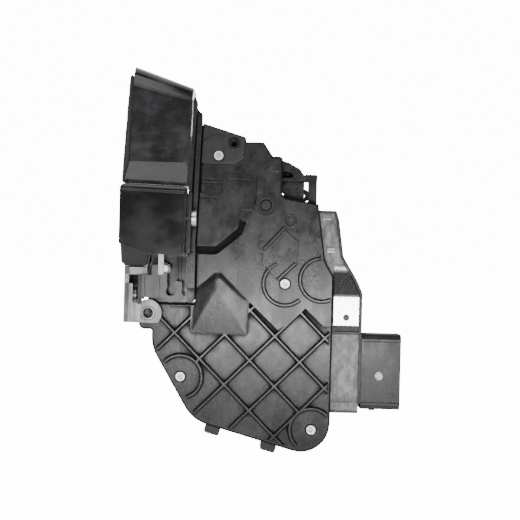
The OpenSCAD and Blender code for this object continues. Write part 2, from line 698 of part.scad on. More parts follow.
// Body of the hood, d below its surface: the top falls and its front edge tightens to the right
module hood_form(d) {
    hull() for (x = [-18, 24]) {
        roof = hood_top - hood_slope * (x - hood_left) - d;
        bend_r = hood_r - 0.125 * (x - hood_left) - d;
        bar_x(rounded([
            [hood_y + d, 40, 0], [hood_back - d, 40, 0], [hood_back - d, roof, 4 - d], [hood_y + d, roof, bend_r]
        ], 12), x, x + 0.1);
    }
}
module weather_hood() {
    inside = [
        hood_path[0] - [20, 0, 0], hood_path[1], hood_path[2], hood_path[3] - [20, -7, 0]
    ];
    color("#161618") difference() {
        union() {
            intersection() {
                hood_form(0);
                slab(rounded(hood_path), hood_y - 1, hood_back + 1);
            }
            intersection() {
                slab([[-12.35, 65.4], [18.3, 64.2], [18.6, hood_knee + 1], [-10.15, hood_knee + 1]], -12, 0);
                bar_x([[hood_y - 3.2, 64], [hood_y + 1, 64], [hood_y + 1, hood_knee], [hood_y - 0.1, hood_knee]], -20, 30);
            }
            slab([[17.4, 66], [18.3, 66], [19.7, hood_top - 17], [18.8, hood_top - 17]], hood_y - 0.6, hood_y + 1);
        }
        intersection() {
            hood_form(2);
            slab(rounded(shrink(inside, 2)), hood_y + 2, hood_back - 2);
        }
        rod_y(outside_at, 2 + seat, 20, hood_back + 1);
    }
}

// Foam around the hood's open side
module foam_seal() {
    foot = hood_path[0].y + 0.6;
    head = hood_top - 5.4;
    front = hood_y + 1.2;
    lean = (hood_path[3].x - hood_path[4].x) / (hood_path[3].y - hood_knee);
    side = hood_path[4].x + lean * (head - hood_knee) - seat;
    color("#3a3a3c") difference() {
        slab([
            [-14.1, foot], [hood_path[0].x - seat, foot], [hood_path[4].x - seat, hood_knee], [side, head],
            [side - 1.8, head], [-13.2, 82.3], [-14, 67.5]
        ], front, hood_back - 0.4);
        block([-30, front + foam_rim, foot + foam_rim], [20, hood_back - foam_rim, head - foam_rim]);
    }
}

// Plastic box of the latch head, with the striker channel and the lever space
module latch_box() {
    right_top = [box_right + 0.5, box_top - 1];
    nose = [[box_left, box_low + 5.4, 1], [-12.3, box_low + 4.8, 1.5], [-1, box_low + 1, 3],
        [box_right, box_low, 1.4], [right_top.x, right_top.y, 2.2], [box_left, box_top, 2.4]];
    color("#1b1b1d") difference() {
        union() {
            slab(rounded(nose), -box_front, -0.4);
            rib([box_left + 1.2, box_top - 1.9], right_top + [-1, -1.9], 3.4, -box_front - 0.8, 0.1 - box_front);
            rib([box_right - 0.8, box_low + 1.2], right_top + [-0.9, -2.4], 1.8, -box_front - 0.5, 0.1 - box_front);
            chin();
            block([box_x0, -0.8, box_low], [box_right, plate_w, plate_top]);
            block([box_x0, 8, shelf_z + fit], [box_right, plate_w, box_low + 1]);
            for (x = [13.2, 14.9]) block([x, 4, 8], [x + 0.9, 9, box_low + 1]);
            rod_y(release_at, 3, 5, 9);
        }
        slab(rounded(shrink(nose, 2)), -box_front + 2.2, 1);
        difference() {
            union() {
                block([box_x0 - 1, 10, mouth_z + mouth_r + 3], [box_right - 2, plate_w - 2, plate_top - 2]);
                block([box_x0 - 1, 10, 8], [box_right - 2, plate_w - 2, mouth_z - mouth_r - 3]);
            }
            rod_x(claw_at, claw_coil_r - 1, box_x0 + 1.4, box_right);
            rod_x(pawl_at, pawl_coil_r - 1, box_x0 + 1.4, box_right);
        }
        bar_x(mouth_points, box_x0 - 1, box_x0 + 11);
        link_slot();
        rod_y(release_at, release_pin_r + seat, 3, 14);
        rod_x(rivet_at, 2.2 + seat, 12, 20);
        block(bump_low - [1, 1, 1] * seat, bump_high + [1, 1, 1] * seat);
    }
}
// Lower left of the box's face, which slopes back below a soft crease
module chin() {
    hull() {
        slab([[-13.6, box_low + 5.8], [-12.3, box_low + 4.9], [-1, box_low + 1.2], [0.6, box_low + 1.2],
            [0.6, 38], [-13.6, 38]], 0.1 - box_front, 0.3 - box_front);
        slab(rounded([[-13.4, 23.2, 3], [-0.8, 23.4, 1.2], [0.6, box_low, 0.5], [0.6, 38, 0], [-13.4, 38, 0]]),
            4 - box_front, -0.4);
    }
}
mouth_points = concat(
    [[plate_w + 9, mouth_z + mouth_r], [striker_y, mouth_z + mouth_r]],
    [for (a = [100:10:260]) [striker_y + mouth_r * cos(a), mouth_z + mouth_r * sin(a)]],
    [[striker_y, mouth_z - mouth_r], [plate_w + 9, mouth_z - mouth_r]]
);
link_x = [5.2, 6.7];
module link_slot() {
    block([link_x.x - fit, 1, 12], [link_x.y + fit, 4, 62]);
}

// Low and high corner of the rubber stop at the end of the striker mouth
bump_low = [box_x0 + 1, striker_y - mouth_r - 2.4, mouth_z - 4];
bump_high = [box_x0 + 9, striker_y - mouth_r + 1.5, mouth_z + 4];
rivet_at = [0.4, 47.3];
claw_coil_r = 6.4;
pawl_coil_r = 3.3;

// Upright flanges between the hood, the box and the cover
module spine_bracket() {
    near_cover = upper_left - 0.05;
    lean = (24.6 - upper_left) / (cover_top - 23.1);
    color("#232325") difference() {
        union() {
            slab([[18.7, 57], [20.1, 57], [21.8, 105.4], [21.2, 106.8], [20.3, 106.4]], -3.5, 10);
            slab([[20.3, 31], [upper_left - fit, 31], [24.3, 94.6], [24.2, 99.9], [22, 99.9]], 1.5, 12);
            slab([[18.6, 30], [20.2, 30], [20.6, 60], [18.8, 60]], -5, 14);
            slab([[19, 60], [23, 60], [22.4, 75], [20, 75]], 6, 10);
            slab([
                [20.3, 31], [near_cover, 31], [near_cover + lean * 62, 94], [23, 101], [20.5, 104], [18.8, 58],
                [20.3, 57.9]
            ], 9, 14);
            block([18.5, 3, 12.7], [near_cover, 13, 31.4]);
            slab([[18.5, 5.3], [21.3, 5.3], [near_cover, 6.6], [near_cover, 13], [18.5, 13]], 8, 13);
        }
        rod_x(rivet_at, 2.2 + seat, 15, 26);
        rod_x(rivet_at, rivet_r + fit, 20.4, 26);
    }
}
module spine_rivet() {
    color("#d2d2cc") {
        rod_x(rivet_at, rivet_r, 20.4 + seat, 22.8);
        rod_x(rivet_at, 2.2, 15.6, 20.6);
    }
}

// Steel latch plate with its bent flanges and threaded ear
module face_plate() {
    color("#9a9a98") difference() {
        union() {
            block([-head_reach, 2.7, -plate_low], [plate_in, plate_w, plate_top]);
            flange(-plate_low, 14.4, -7.8);
            flange(18.9, 22.6, -0.8);
            flange(24, plate_top, -4);
            block([-9.7, 0, -plate_low], [0.6, plate_t, 4.9]);
            intersection() {
                rod_y([0, 0], ear_r, 0, plate_t);
                block([-10, -1, -plate_low], [10, 4, 10]);
            }
            rod_y([0, 0], thread_r + 1.9, plate_t - 0.1, thread_l);
            for (p = plate_threads) rod_x(p, thread_r + 1.9, plate_in - 0.1, -head_reach + thread_l);
        }
        rod_y([0, 0], thread_r, -1, thread_l + 1);
        ring_y([0, 0], thread_r + 1.2, thread_r + 0.8, -1, 0.25);
        for (p = plate_threads) rod_x(p, thread_r, -head_reach - 1, -head_reach + thread_l + 1);
        bar_x(mouth_points, -head_reach - 1, plate_in + 1);
        rod_x(claw_at, claw_pin_r - 1 + seat, -head_reach - 1, plate_in + 1);
        rod_x(pawl_at, pawl_pin_r - 1 + seat, -head_reach - 1, plate_in + 1);
    }
}
// Strip bent from the plate's near edge, from height z0 to z1 and out to x
module flange(z0, z1, x) {
    r = 2.7;
    translate([0, 0, z0]) linear_extrude(z1 - z0) polygon(concat(
        [for (a = [180:15:270]) [-head_reach + r + r * cos(a), r + r * sin(a)]],
        [[x, 0], [x, plate_t], [plate_in + 0.3, plate_t], [plate_in, plate_t + 0.3], [plate_in, r + 0.1]],
        [[-head_reach, r + 0.1]]
    ));
}

module back_plate() {
    path = [[4, 7.5, 2], [plate_w - 3, 7.5, 4], [plate_w - 3, plate_top - 2, 4], [4, plate_top - 2, 4]];
    color("#8c8c8a") difference() {
        bar_x(rounded(path), back_x0, back_x1);
        bar_x(mouth_points, back_x0 - 1, back_x1 + 1);
        rod_x(claw_at, claw_pin_r - 1 + seat, back_x0 - 1, back_x1 + 1);
        rod_x(pawl_at, pawl_pin_r - 1 + seat, back_x0 - 1, back_x1 + 1);
    }
}

module claw() {
    color("#8f8f8d") difference() {
        bar_x(rounded(shift(turned(claw_path, claw_turn), claw_at)), claw_x0, claw_x1);
        rod_x(claw_at, claw_pin_r + pin_gap, claw_x0 - 1, claw_x1 + 1);
    }
}
module claw_coat() {
    color("#202022") difference() {
        bar_x(rounded(shift(turned(claw_path, claw_turn), claw_at)), claw_x1, claw_x1 + coat_t);
        rod_x(claw_at, claw_pin_r + pin_gap + 1, claw_x1 - 1, claw_x1 + coat_t + 1);
    }
}
module pawl() {
    color("#8f8f8d") difference() {
        bar_x(rounded(shift(turned(pawl_path, pawl_turn), pawl_at)), claw_x0, claw_x1);
        rod_x(pawl_at, pawl_pin_r + pin_gap, claw_x0 - 1, claw_x1 + 1);
    }
}
// Pivot pin with a shoulder between the plates and riveted ends
module pivot(p, r) {
    rod_x(p, r, plate_in, back_x0);
    rod_x(p, r - 1, -head_reach, back_x1);
}
module claw_pin() {
    color("#b4b4b0") pivot(claw_at, claw_pin_r);
}
module pawl_pin() {
    color("#b4b4b0") pivot(pawl_at, pawl_pin_r);
}

// Coil of a torsion spring around an axis along X
module coil_x(p, r, wire, x0, turns) {
    for (k = [0:turns - 1]) translate([x0 + (k + 0.5) * 2 * wire, p.x, p.y]) rotate([0, 90, 0])
        rotate_extrude() translate([r, 0]) circle(r = wire, $fn = 16);
}
module claw_spring() {
    color("#b0b0ac") coil_x(claw_at, claw_coil_r, 0.55, box_x0 + 2.6, 4);
}
module pawl_spring() {
    color("#b0b0ac") coil_x(pawl_at, pawl_coil_r, 0.5, box_x0 + 2.6, 4);
}
module bump_stop() {
    color("#111112") block(bump_low, bump_high);
}

module release_lever() {
    back = release_y + lever_t;
    color("#8b8d8f") difference() {
        union() {
            slab(rounded(release_path, 4), release_y, back);
            rod_y(release_at, release_pin_r + 0.9, release_y - 0.6, back);
            translate([0, 0, 4.4]) linear_extrude(14.4) polygon(concat(
                [for (a = [180:15:270]) [lever_t * cos(a) - 3, back + lever_t * sin(a)]],
                [[-2.9, release_y], [-2.9, back], [-3.5, back], [-3.5, back + 1.4], [-5, back + 1.4]]
            ));
        }
        rod_y(release_at, release_pin_r + pin_gap, release_y - 2, back + 2);
        rod_y(release_eye, eye_r, release_y - 1, back + 1);
        block([release_eye.x - 1.6, release_y - 1, release_eye.y], [release_eye.x + 1.6, back + 1, 20]);
        for (x = [-1.9, 5.4]) block([x, release_y - 1, 8.6], [x + 0.35, release_y + 0.25, 18.2]);
    }
}
module release_pin() {
    color("#c0c0bc") {
        rod_y(release_at, release_pin_r, release_y - 1, 13);
        rod_y(release_at, release_pin_r + 0.5, release_y - 1.2, release_y - 0.7);
    }
}
module release_spring() {
    color("#c4c4c0") for (k = [0:2])
        translate([release_at.x, release_y + lever_t + fit + 0.45 + k * 0.9, release_at.y])
            rotate([90, 0, 0]) rotate_extrude() translate([2.1, 0]) circle(r = 0.44, $fn = 16);
}
// Pale guide under the box's face, in front of the lever's pivot
module lever_guide() {
    color("#dcdcd8") slab([
        [5.1, 19.3], [7.7, 19.3], [7.7, box_low + 0.54 - seat], [5.1, box_low + 0.67 - seat]
    ], release_y - 2.8, release_y - 1.4);
}
module release_link() {
    color("#d0d0ce") block([link_x.x, 1.4, 17.5], [link_x.y, 3.4, 58]);
}

// Lever for the outside handle, in the hood
outside_at = [4, 72.4];
module outside_lever() {
    path = [[-5, -3.4, 1.5], [3.4, -3.4, 1.5], [3.4, 4, 2], [0, 22, 2], [-7, 22, 2], [-4, 3, 3]];
    color("#7f8183") difference() {
        union() {
            slab(rounded(shift(path, outside_at)), 8, 8 + lever_t);
            block([outside_at.x - 6, 5, outside_at.y + 19.4], [outside_at.x - 1, 8.5, outside_at.y + 21.8]);
        }
        rod_y(outside_at, 2 + pin_gap, 0, 20);
    }
}
module outside_pin() {
    color("#b4b4b0") {
        rod_y(outside_at, 2, 6, hood_back - 0.4);
        rod_y(outside_at, 3, 6.4, 7.7);
    }
}

// Flattened round section of the motor, as [y, z], with room g around it
function motor_section(g) = let (r = motor_r + g, flat = acos((motor_flat + g) / r)) [
    for (side = [0, 180]) for (a = [side + flat:(180 - 2 * flat) / 10:side + 180.1 - flat])
        [drive_y + r * cos(a), worm_z + r * sin(a)]
];
module lock_motor() {
    x0 = motor_x0;
    color("#b8b8b4") difference() {
        union() {
            bar_x(motor_section(0), x0, x0 + motor_l);
            rod_x([drive_y, worm_z], 3, x0 - 1.6, x0 + motor_l + 1.4);
        }
        rod_x([drive_y, worm_z], 1 + pin_gap, x0 + motor_l - 4, x0 + motor_l + 2);
    }
}
module worm() {
    color("#c9a24e") {
        translate([worm_x0, drive_y, worm_z]) rotate([0, 90, 0])
            linear_extrude(worm_l, twist = -360 * 5, slices = 45, $fn = 12)
                translate([1, 0]) circle(r = worm_r - 1, $fn = 12);
        rod_x([drive_y, worm_z], 1, worm_x0 - motor_gap - 3, worm_x0 + 1);
        rod_x([drive_y, worm_z], 1.6, worm_x0 + worm_l - 1, worm_x0 + worm_l + 2.4);
    }
}
function gear(r, teeth, h) = [
    for (k = [0:teeth - 1]) for (s = [[-0.36, r - h], [-0.17, r], [0.17, r], [0.36, r - h]])
        s.y * [cos((k + s.x) * 360 / teeth), sin((k + s.x) * 360 / teeth)]
];
module worm_wheel() {
    color("#d8d4c4") translate([wheel_at.x, drive_y + wheel_t / 2, wheel_at.y])
        rotate([90, 0, 0]) difference() {
        union() {
            linear_extrude(wheel_t) polygon(gear(wheel_r, wheel_teeth, 1.6));
            cylinder(r = 4, h = wheel_t + 0.5);
            translate(polar(drive_pin_at, pin_angle)) cylinder(r = drive_pin_r, h = wheel_t + lever_t + 1.4);
        }
        translate([0, 0, -1]) cylinder(r = 2 + pin_gap, h = wheel_t + 3);
        for (a = [30:60:330])
            translate([0, 0, -1] + concat(polar(drive_pin_at + 0.6, pin_angle + a), 0)) cylinder(r = 1.5, h = 3);
    }
}
module wheel_axle() {
    color("#b4b4b0") {
        rod_y(wheel_at, 2, drive_y - wheel_t / 2 - 0.6, inner_back + 0.6);
        rod_y(lock_at, 2, cell_y + skin + fit, inner_back + 0.6);
    }
}
module lock_lever() {
    color("#d8d4c4") difference() {
        union() {
            rod_y(lock_at, 5, lock_y, lock_y + lever_t + 2);
            arm(lock_at, lower_angle, wheel_span - drive_pin_at - 1.2, wheel_span - drive_pin_at + 4.2,
                drive_pin_r + slot_gap, 2, lock_y, lock_y + lever_t);
            slab(capsule(lock_at, upper_angle, 0, upper_reach, 3), lock_y, lock_y + lever_t);
            rod_y(lock_at + polar(upper_reach, upper_angle), upper_pin_r, lock_y, crank_y + crank_t + 0.5);
        }
        rod_y(lock_at, 2 + pin_gap, lock_y - 1, lock_y + lever_t + 3);
    }
}
module key_lever() {
    path = [[-4.6, -5.6, 3], [5.6, -4.6, 3], [3, 24, 2.6], [-3, 24, 2.6]];
    color("#8b8d8f") difference() {
        slab(rounded(shift(turned(path, -70), hub_at)), back_y + 3, back_y + 3 + lever_t);
        rod_y(hub_at, hub_r + seat, back_y, back_y + 8);
        rod_y(hub_at + 20 * [sin(70), cos(70)], 1.6, back_y, back_y + 8);
    }
}

switch_places = [[33, 30], [76, 2]];
module microswitches() {
    color("#1a1a1c") for (p = switch_places) {
        block([p.x - 6, inner_back - 9, p.y - 3], [p.x + 6, inner_back - 2.2, p.y + 3]);
        block([p.x - 1, inner_back - 9, p.y + 2.9], [p.x + 1, inner_back - 5, p.y + 4.2]);
    }
}
module contact_frame() {
    path = [
        [26, 26, 1], [37, 26, 1], [37, 20, 1], [50, 20, 0], [58, 8, 1], [70, 8, 1], [70, -6, 1],
        [84, -6, 1], [84, -44, 1], [88, -44, 1], [88, 6, 2], [72, 22, 2], [60, 38, 2], [26, 38, 2]
    ];
    color("#26282c") difference() {
        slab(rounded(path, 3), inner_back - 2.2 + seat, inner_back - 0.2);
        rod_y(lock_at, 6, 0, 60);
        rod_y(screw_mid, post_r + fit, 0, 60);
    }
}
module housing_seal() {
    color("#0f0f10") difference() {
        slab(rounded(shrink(cover_path, wall + 0.1)), seam_y - 0.6, seam_y + 0.6);
        slab(rounded(shrink(cover_path, wall + 1.1)), seam_y - 1, seam_y + 1);
        for (p = cover_screw_places) rod_y(p, post_r + fit, seam_y - 1, seam_y + 1);
    }
}

front_cover();
rear_housing();
connector_shell();
connector_pins();
cable_bracket();
upper_plate();
ring_stud();
lock_hub();
cover_screws();
weather_hood();
foam_seal();
latch_box();
spine_bracket();
spine_rivet();
face_plate();
back_plate();
claw();
claw_coat();
pawl();
claw_pin();
pawl_pin();
claw_spring();
pawl_spring();
bump_stop();
release_lever();
release_pin();
release_spring();
lever_guide();
wire_tray();
channel_plate();
release_link();
outside_lever();
outside_pin();
lock_motor();
worm();
worm_wheel();
wheel_axle();
lock_lever();
key_lever();
microswitches();
contact_frame();
housing_seal();
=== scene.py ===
"""Looks for a vehicle door latch with its lock actuator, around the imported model."""

import math

import bmesh
import bpy
from mathutils import Matrix, Vector, noise


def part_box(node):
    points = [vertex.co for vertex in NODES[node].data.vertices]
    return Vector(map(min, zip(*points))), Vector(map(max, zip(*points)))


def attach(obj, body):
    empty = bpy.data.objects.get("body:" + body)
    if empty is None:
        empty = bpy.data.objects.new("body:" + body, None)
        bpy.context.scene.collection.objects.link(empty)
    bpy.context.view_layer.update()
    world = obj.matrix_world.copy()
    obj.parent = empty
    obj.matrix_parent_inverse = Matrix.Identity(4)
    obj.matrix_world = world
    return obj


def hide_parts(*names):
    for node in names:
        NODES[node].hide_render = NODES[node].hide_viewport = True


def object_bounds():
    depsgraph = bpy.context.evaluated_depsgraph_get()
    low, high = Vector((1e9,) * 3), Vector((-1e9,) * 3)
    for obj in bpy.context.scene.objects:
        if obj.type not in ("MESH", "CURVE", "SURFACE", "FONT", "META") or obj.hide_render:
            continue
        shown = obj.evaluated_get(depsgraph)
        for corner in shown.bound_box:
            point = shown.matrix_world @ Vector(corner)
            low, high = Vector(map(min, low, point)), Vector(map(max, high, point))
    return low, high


bl_info = {
    "name": "Door latch actuator looks",
    "version": (1, 0, 0),
    "blender": (4, 5, 0),
    "location": "View3D > Sidebar > Latch",
    "description": "Finishes, soft parts, springs, lights and camera for a door latch actuator",
    "category": "Object",
}

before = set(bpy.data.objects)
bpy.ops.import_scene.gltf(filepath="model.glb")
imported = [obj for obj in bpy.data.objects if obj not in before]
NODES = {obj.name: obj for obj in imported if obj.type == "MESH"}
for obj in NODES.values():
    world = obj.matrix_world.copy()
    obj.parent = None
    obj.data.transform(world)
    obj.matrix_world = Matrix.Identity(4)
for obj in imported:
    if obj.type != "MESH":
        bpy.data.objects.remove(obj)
CAD_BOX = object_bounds()
MM = 0.001

# Places on the CAD parts, in millimetres. Depths are along Y, behind the ear's face.
GROOVE_DEPTH = 9.7                    # the cover turns dull and gets painted shade below this depth
TRAY_FLOOR = 17.0                     # floor of the wire channel
BLISTER_FOOT = 6.75                   # where the cover's blister rises from its panel
BLISTER_MIDDLE = (34.0, 6.0, 9.5)
BLISTER_REACH = 14.5
BLISTER_SOFTNESS = 2.2                # how far the blister's edges look rounded
DIAL_MIDDLE = (69.7, 6.75, 47.5)
DAB_PLACE = (116.5, 15.5, -29.7)

# The soft lights' places and sizes, in metres.
FRONT_LAMP = (0.085, -0.35, -0.018)
TOP_LAMP = (-0.1, -0.33, 0.45)
TOP_LAMP_SIZE = (0.32, 0.56)
BACK_LAMP = (-0.15, 0.85, 0.45)
BACK_LAMP_SIZE = (0.8, 0.6)

# The floor's rings and how far it lies under the part, in metres.
FLOOR_RINGS = (0.3, 0.8, 2.0, 5.0, 12.0)
FLOOR_CORNERS = 64
FLOOR_GAP = 0.0004

FOAM_VOXEL = 0.7 * MM
COIL_PITCH = 2.05                     # a torsion spring's rise per turn, in wire radii
STEPS_PER_TURN = 24


# ---------------------------------------------------------------- settings


class LatchFinishSettings(bpy.types.PropertyGroup):
    """Colours and surface detail of the latch's materials."""

    cover_colour: bpy.props.FloatVectorProperty(
        name="Cover plastic", description="Colour of the ribbed cover", subtype="COLOR",
        default=(0.016, 0.016, 0.017), min=0.0, max=1.0)
    housing_colour: bpy.props.FloatVectorProperty(
        name="Housing plastic", description="Colour of the rear housing and brackets", subtype="COLOR",
        default=(0.013, 0.013, 0.014), min=0.0, max=1.0)
    head_colour: bpy.props.FloatVectorProperty(
        name="Latch head plastic", description="Colour of the glossy hood and latch box", subtype="COLOR",
        default=(0.006, 0.006, 0.0065), min=0.0, max=1.0)
    socket_colour: bpy.props.FloatVectorProperty(
        name="Connector plastic", description="Colour of the connector shell", subtype="COLOR",
        default=(0.020, 0.020, 0.021), min=0.0, max=1.0)
    steel_colour: bpy.props.FloatVectorProperty(
        name="Plate steel", description="Colour of the latch plates, claw and pawl", subtype="COLOR",
        default=(0.36, 0.36, 0.37), min=0.0, max=1.0)
    lever_colour: bpy.props.FloatVectorProperty(
        name="Lever steel", description="Colour of the phosphated levers", subtype="COLOR",
        default=(0.12, 0.122, 0.125), min=0.0, max=1.0)
    soft_edge: bpy.props.FloatProperty(
        name="Soft edge", description="Radius to which moulded edges look rounded",
        default=0.30 * MM, min=0.0, max=0.002, unit="LENGTH", precision=5)
    grain: bpy.props.FloatProperty(
        name="Grain depth", description="Depth of the moulded grain", default=0.008 * MM, min=0.0,
        max=0.0005, unit="LENGTH", precision=6)


class LatchSoftSettings(bpy.types.PropertyGroup):
    """Sizes of the foam, the rubber stop, the springs, the dial's ticks and the dab."""

    foam_swell: bpy.props.FloatProperty(
        name="Foam swell", description="How far the foam bulges between its edges",
        default=0.35 * MM, min=0.0, max=0.001, unit="LENGTH", precision=5)
    pore_depth: bpy.props.FloatProperty(
        name="Foam roughness", description="Depth of the torn cells on the foam's skin",
        default=0.12 * MM, min=0.0, max=0.001, unit="LENGTH", precision=5)
    bumper_round: bpy.props.FloatProperty(
        name="Bumper rounding", description="Radius of the rubber stop's edges",
        default=0.9 * MM, min=0.0002, max=0.0015, unit="LENGTH", precision=5)
    dial_ticks: bpy.props.IntProperty(
        name="Dial ticks", description="How many ticks stand round the cover's bare dial",
        default=12, min=3)
    dab_radius: bpy.props.FloatProperty(
        name="Dab radius", description="Radius of the sealing dab on the connector", default=2.1 * MM,
        min=0.001, max=0.004, unit="LENGTH", precision=5)
    claw_wire: bpy.props.FloatProperty(
        name="Claw spring wire", description="Radius of the claw spring's wire",
        default=0.55 * MM, min=0.0003, max=0.001, unit="LENGTH", precision=5)
    pawl_wire: bpy.props.FloatProperty(
        name="Pawl spring wire", description="Radius of the pawl spring's wire",
        default=0.5 * MM, min=0.0003, max=0.001, unit="LENGTH", precision=5)
    lever_wire: bpy.props.FloatProperty(
        name="Lever spring wire", description="Radius of the release lever's spring wire",
        default=0.42 * MM, min=0.0003, max=0.001, unit="LENGTH", precision=5)


class LatchStageSettings(bpy.types.PropertyGroup):
    """Camera, floor and lights."""

    distance: bpy.props.FloatProperty(
        name="Camera distance", description="From the ear's face to the camera", default=0.643,
        min=0.3, max=2.0, unit="LENGTH")
    aim_x: bpy.props.FloatProperty(
        name="Aim across", description="Where the camera points, along X", default=0.0548, unit="LENGTH")
    aim_z: bpy.props.FloatProperty(
        name="Aim up", description="Where the camera points, along Z", default=0.0276, unit="LENGTH")
    lens: bpy.props.FloatProperty(
        name="Lens", description="Focal length on a 36 mm sensor", default=90.0, min=20.0, max=200.0)
    roll: bpy.props.FloatProperty(
        name="Roll", description="Turn of the camera round its own axis", default=math.radians(1.5),
        subtype="ANGLE")
    floor_colour: bpy.props.FloatVectorProperty(
        name="Floor", description="Colour of the pale floor", subtype="COLOR",
        default=(0.86, 0.86, 0.86), min=0.0, max=1.0)
    white: bpy.props.FloatProperty(
        name="White", description="How bright the backdrop and the floor look", default=14.0, min=0.0)
    front_power: bpy.props.FloatProperty(
        name="Front light", description="Power of the soft light near the camera", default=0.5, min=0.0,
        unit="POWER")
    front_size: bpy.props.FloatVectorProperty(
        name="Front light size", description="Width and height of the soft light near the camera", size=2,
        default=(0.20, 0.05), min=0.01, unit="LENGTH")
    top_power: bpy.props.FloatProperty(
        name="Top light", description="Power of the soft light above", default=1.5, min=0.0, unit="POWER")
    back_power: bpy.props.FloatProperty(
        name="Back light", description="Power of the soft light behind", default=5.0, min=0.0, unit="POWER")


# ---------------------------------------------------------------- shader maths


class Value:
    """A number or colour that runs through a material, for shader maths written in Python."""

    def __init__(self, shade, socket):
        self.shade = shade
        self.socket = socket

    def _maths(self, operation, other, flipped=False):
        first, second = (other, self) if flipped else (self, other)
        return self.shade.node("ShaderNodeMath", {"operation": operation}, {0: first, 1: second})

    def __add__(self, other):
        return self._maths("ADD", other)

    def __radd__(self, other):
        return self._maths("ADD", other, True)

    def __sub__(self, other):
        return self._maths("SUBTRACT", other)

    def __rsub__(self, other):
        return self._maths("SUBTRACT", other, True)

    def __mul__(self, other):
        return self._maths("MULTIPLY", other)

    def __rmul__(self, other):
        return self._maths("MULTIPLY", other, True)

    def clamp(self):
        """The value kept between 0 and 1."""
        return self.shade.node("ShaderNodeClamp", {}, {"Value": self})


class Shade:
    """One procedural material: its node tree, and the finish that it ends in."""

    def __init__(self, name):
        self.material = bpy.data.materials.new(name)
        self.material.use_nodes = True
        self.tree = self.material.node_tree
        self.tree.nodes.clear()
        objects = self.node("ShaderNodeTexCoord", {}, {}, out="Object")
        self.place = self.node(
            "ShaderNodeVectorMath", {"operation": "SCALE"}, {0: objects, "Scale": 1 / MM})

    @classmethod
    def of(cls, tree):
        """The same maths in a tree that is there already, such as the world's."""
        shade = cls.__new__(cls)
        shade.tree = tree
        tree.nodes.clear()
        return shade

    def node(self, kind, settings, values, out=0):
        """Adds a node: settings first, then each socket's value or link. Gives the named output."""
        made = self.tree.nodes.new(kind)
        for name, value in settings.items():
            setattr(made, name, value)
        for name, value in values.items():
            socket = made.inputs[name]
            if isinstance(value, Value):
                self.tree.links.new(value.socket, socket)
            elif isinstance(value, tuple) and len(value) == 3 and socket.type == "RGBA":
                socket.default_value = (*value, 1.0)
            else:
                socket.default_value = value
        return Value(self, made.outputs[out]) if len(made.outputs) else None

    def noise(self, size, detail=3.0, rough=0.55, stretch=(1, 1, 1), offset=0.0):
        """Cloudy noise whose features are about size millimetres wide."""
        where = self.node("ShaderNodeMapping", {}, {
            "Vector": self.place, "Location": (offset, offset * 0.7, offset * 1.3),
            "Scale": tuple(1 / (size * s) for s in stretch)})
        return self.node("ShaderNodeTexNoise", {}, {
            "Vector": where, "Scale": 1.0, "Detail": detail, "Roughness": rough}, out="Fac")

    def cells(self, size, offset=0.0):
        """Distance to the middle of cells about size millimetres wide."""
        where = self.node("ShaderNodeMapping", {}, {
            "Vector": self.place, "Location": (offset, offset, offset), "Scale": (1 / size,) * 3})
        return self.node("ShaderNodeTexVoronoi", {}, {"Vector": where, "Scale": 1.0}, out="Distance")

    def between(self, value, low, high):
        """0 below low, 1 above high, smooth between."""
        return self.node("ShaderNodeMapRange", {"interpolation_type": "SMOOTHSTEP"}, {
            "Value": value, "From Min": low, "From Max": high})

    def blend(self, factor, first, second):
        """A colour between two colours."""
        return self.node("ShaderNodeMix", {"data_type": "RGBA"}, {
            "Factor": factor, 6: first, 7: second}, out=2)

    def within(self, middle, reach):
        """1 near a place given in millimetres, falling to 0 at reach."""
        away = self.node(
            "ShaderNodeVectorMath", {"operation": "DISTANCE"}, {0: self.place, 1: middle}, out="Value")
        return self.between(away, reach, reach * 0.85)

    def edges(self, radius):
        """The normal with softened edges, and how much each point is an edge."""
        soft = self.node("ShaderNodeBevel", {"samples": 8}, {"Radius": radius})
        flat = self.node("ShaderNodeNewGeometry", {}, {}, out="Normal")
        along = self.node(
            "ShaderNodeVectorMath", {"operation": "DOT_PRODUCT"}, {0: soft, 1: flat}, out="Value")
        return soft, self.between(1 - along, 0.01, 0.22)

    def height(self):
        """The depth of a point behind the ear's face, in millimetres."""
        return self.node("ShaderNodeSeparateXYZ", {}, {0: self.place}, out="Y")

    def facing(self):
        """1 where a surface faces forward, 0 where it doesn't."""
        flat = self.node("ShaderNodeNewGeometry", {}, {}, out="Normal")
        return self.between(0 - self.node("ShaderNodeSeparateXYZ", {}, {0: flat}, out="Y"), 0.6, 0.9)

    def crevice(self, reach):
        """How enclosed a point is by what stands within reach of it: 0 in the open."""
        seen = self.node("ShaderNodeAmbientOcclusion", {"samples": 6}, {"Distance": reach}, out="AO")
        return self.between(1 - seen, 0.16, 0.6)

    def bump(self, height, depth, normal=None):
        """A normal bumped by a height from 0 to 1 that stands for depth metres."""
        values = {"Height": height, "Strength": 1.0, "Distance": depth}
        if normal is not None:
            values["Normal"] = normal
        return self.node("ShaderNodeBump", {}, values)

    def finish(self, colour, rough, normal, metal=0.0, specular=0.5):
        """Ends the material in one Principled surface."""
        values = {"Base Color": colour, "Roughness": rough, "Normal": normal, "Metallic": metal,
                  "Specular IOR Level": specular}
        surface = self.node("ShaderNodeBsdfPrincipled", {}, values)
        self.node("ShaderNodeOutputMaterial", {}, {"Surface": surface})
        return self.material


def tint(colour, factor):
    """A colour made lighter or darker."""
    return tuple(min(1.0, c * factor) for c in colour)


# ---------------------------------------------------------------- finishes


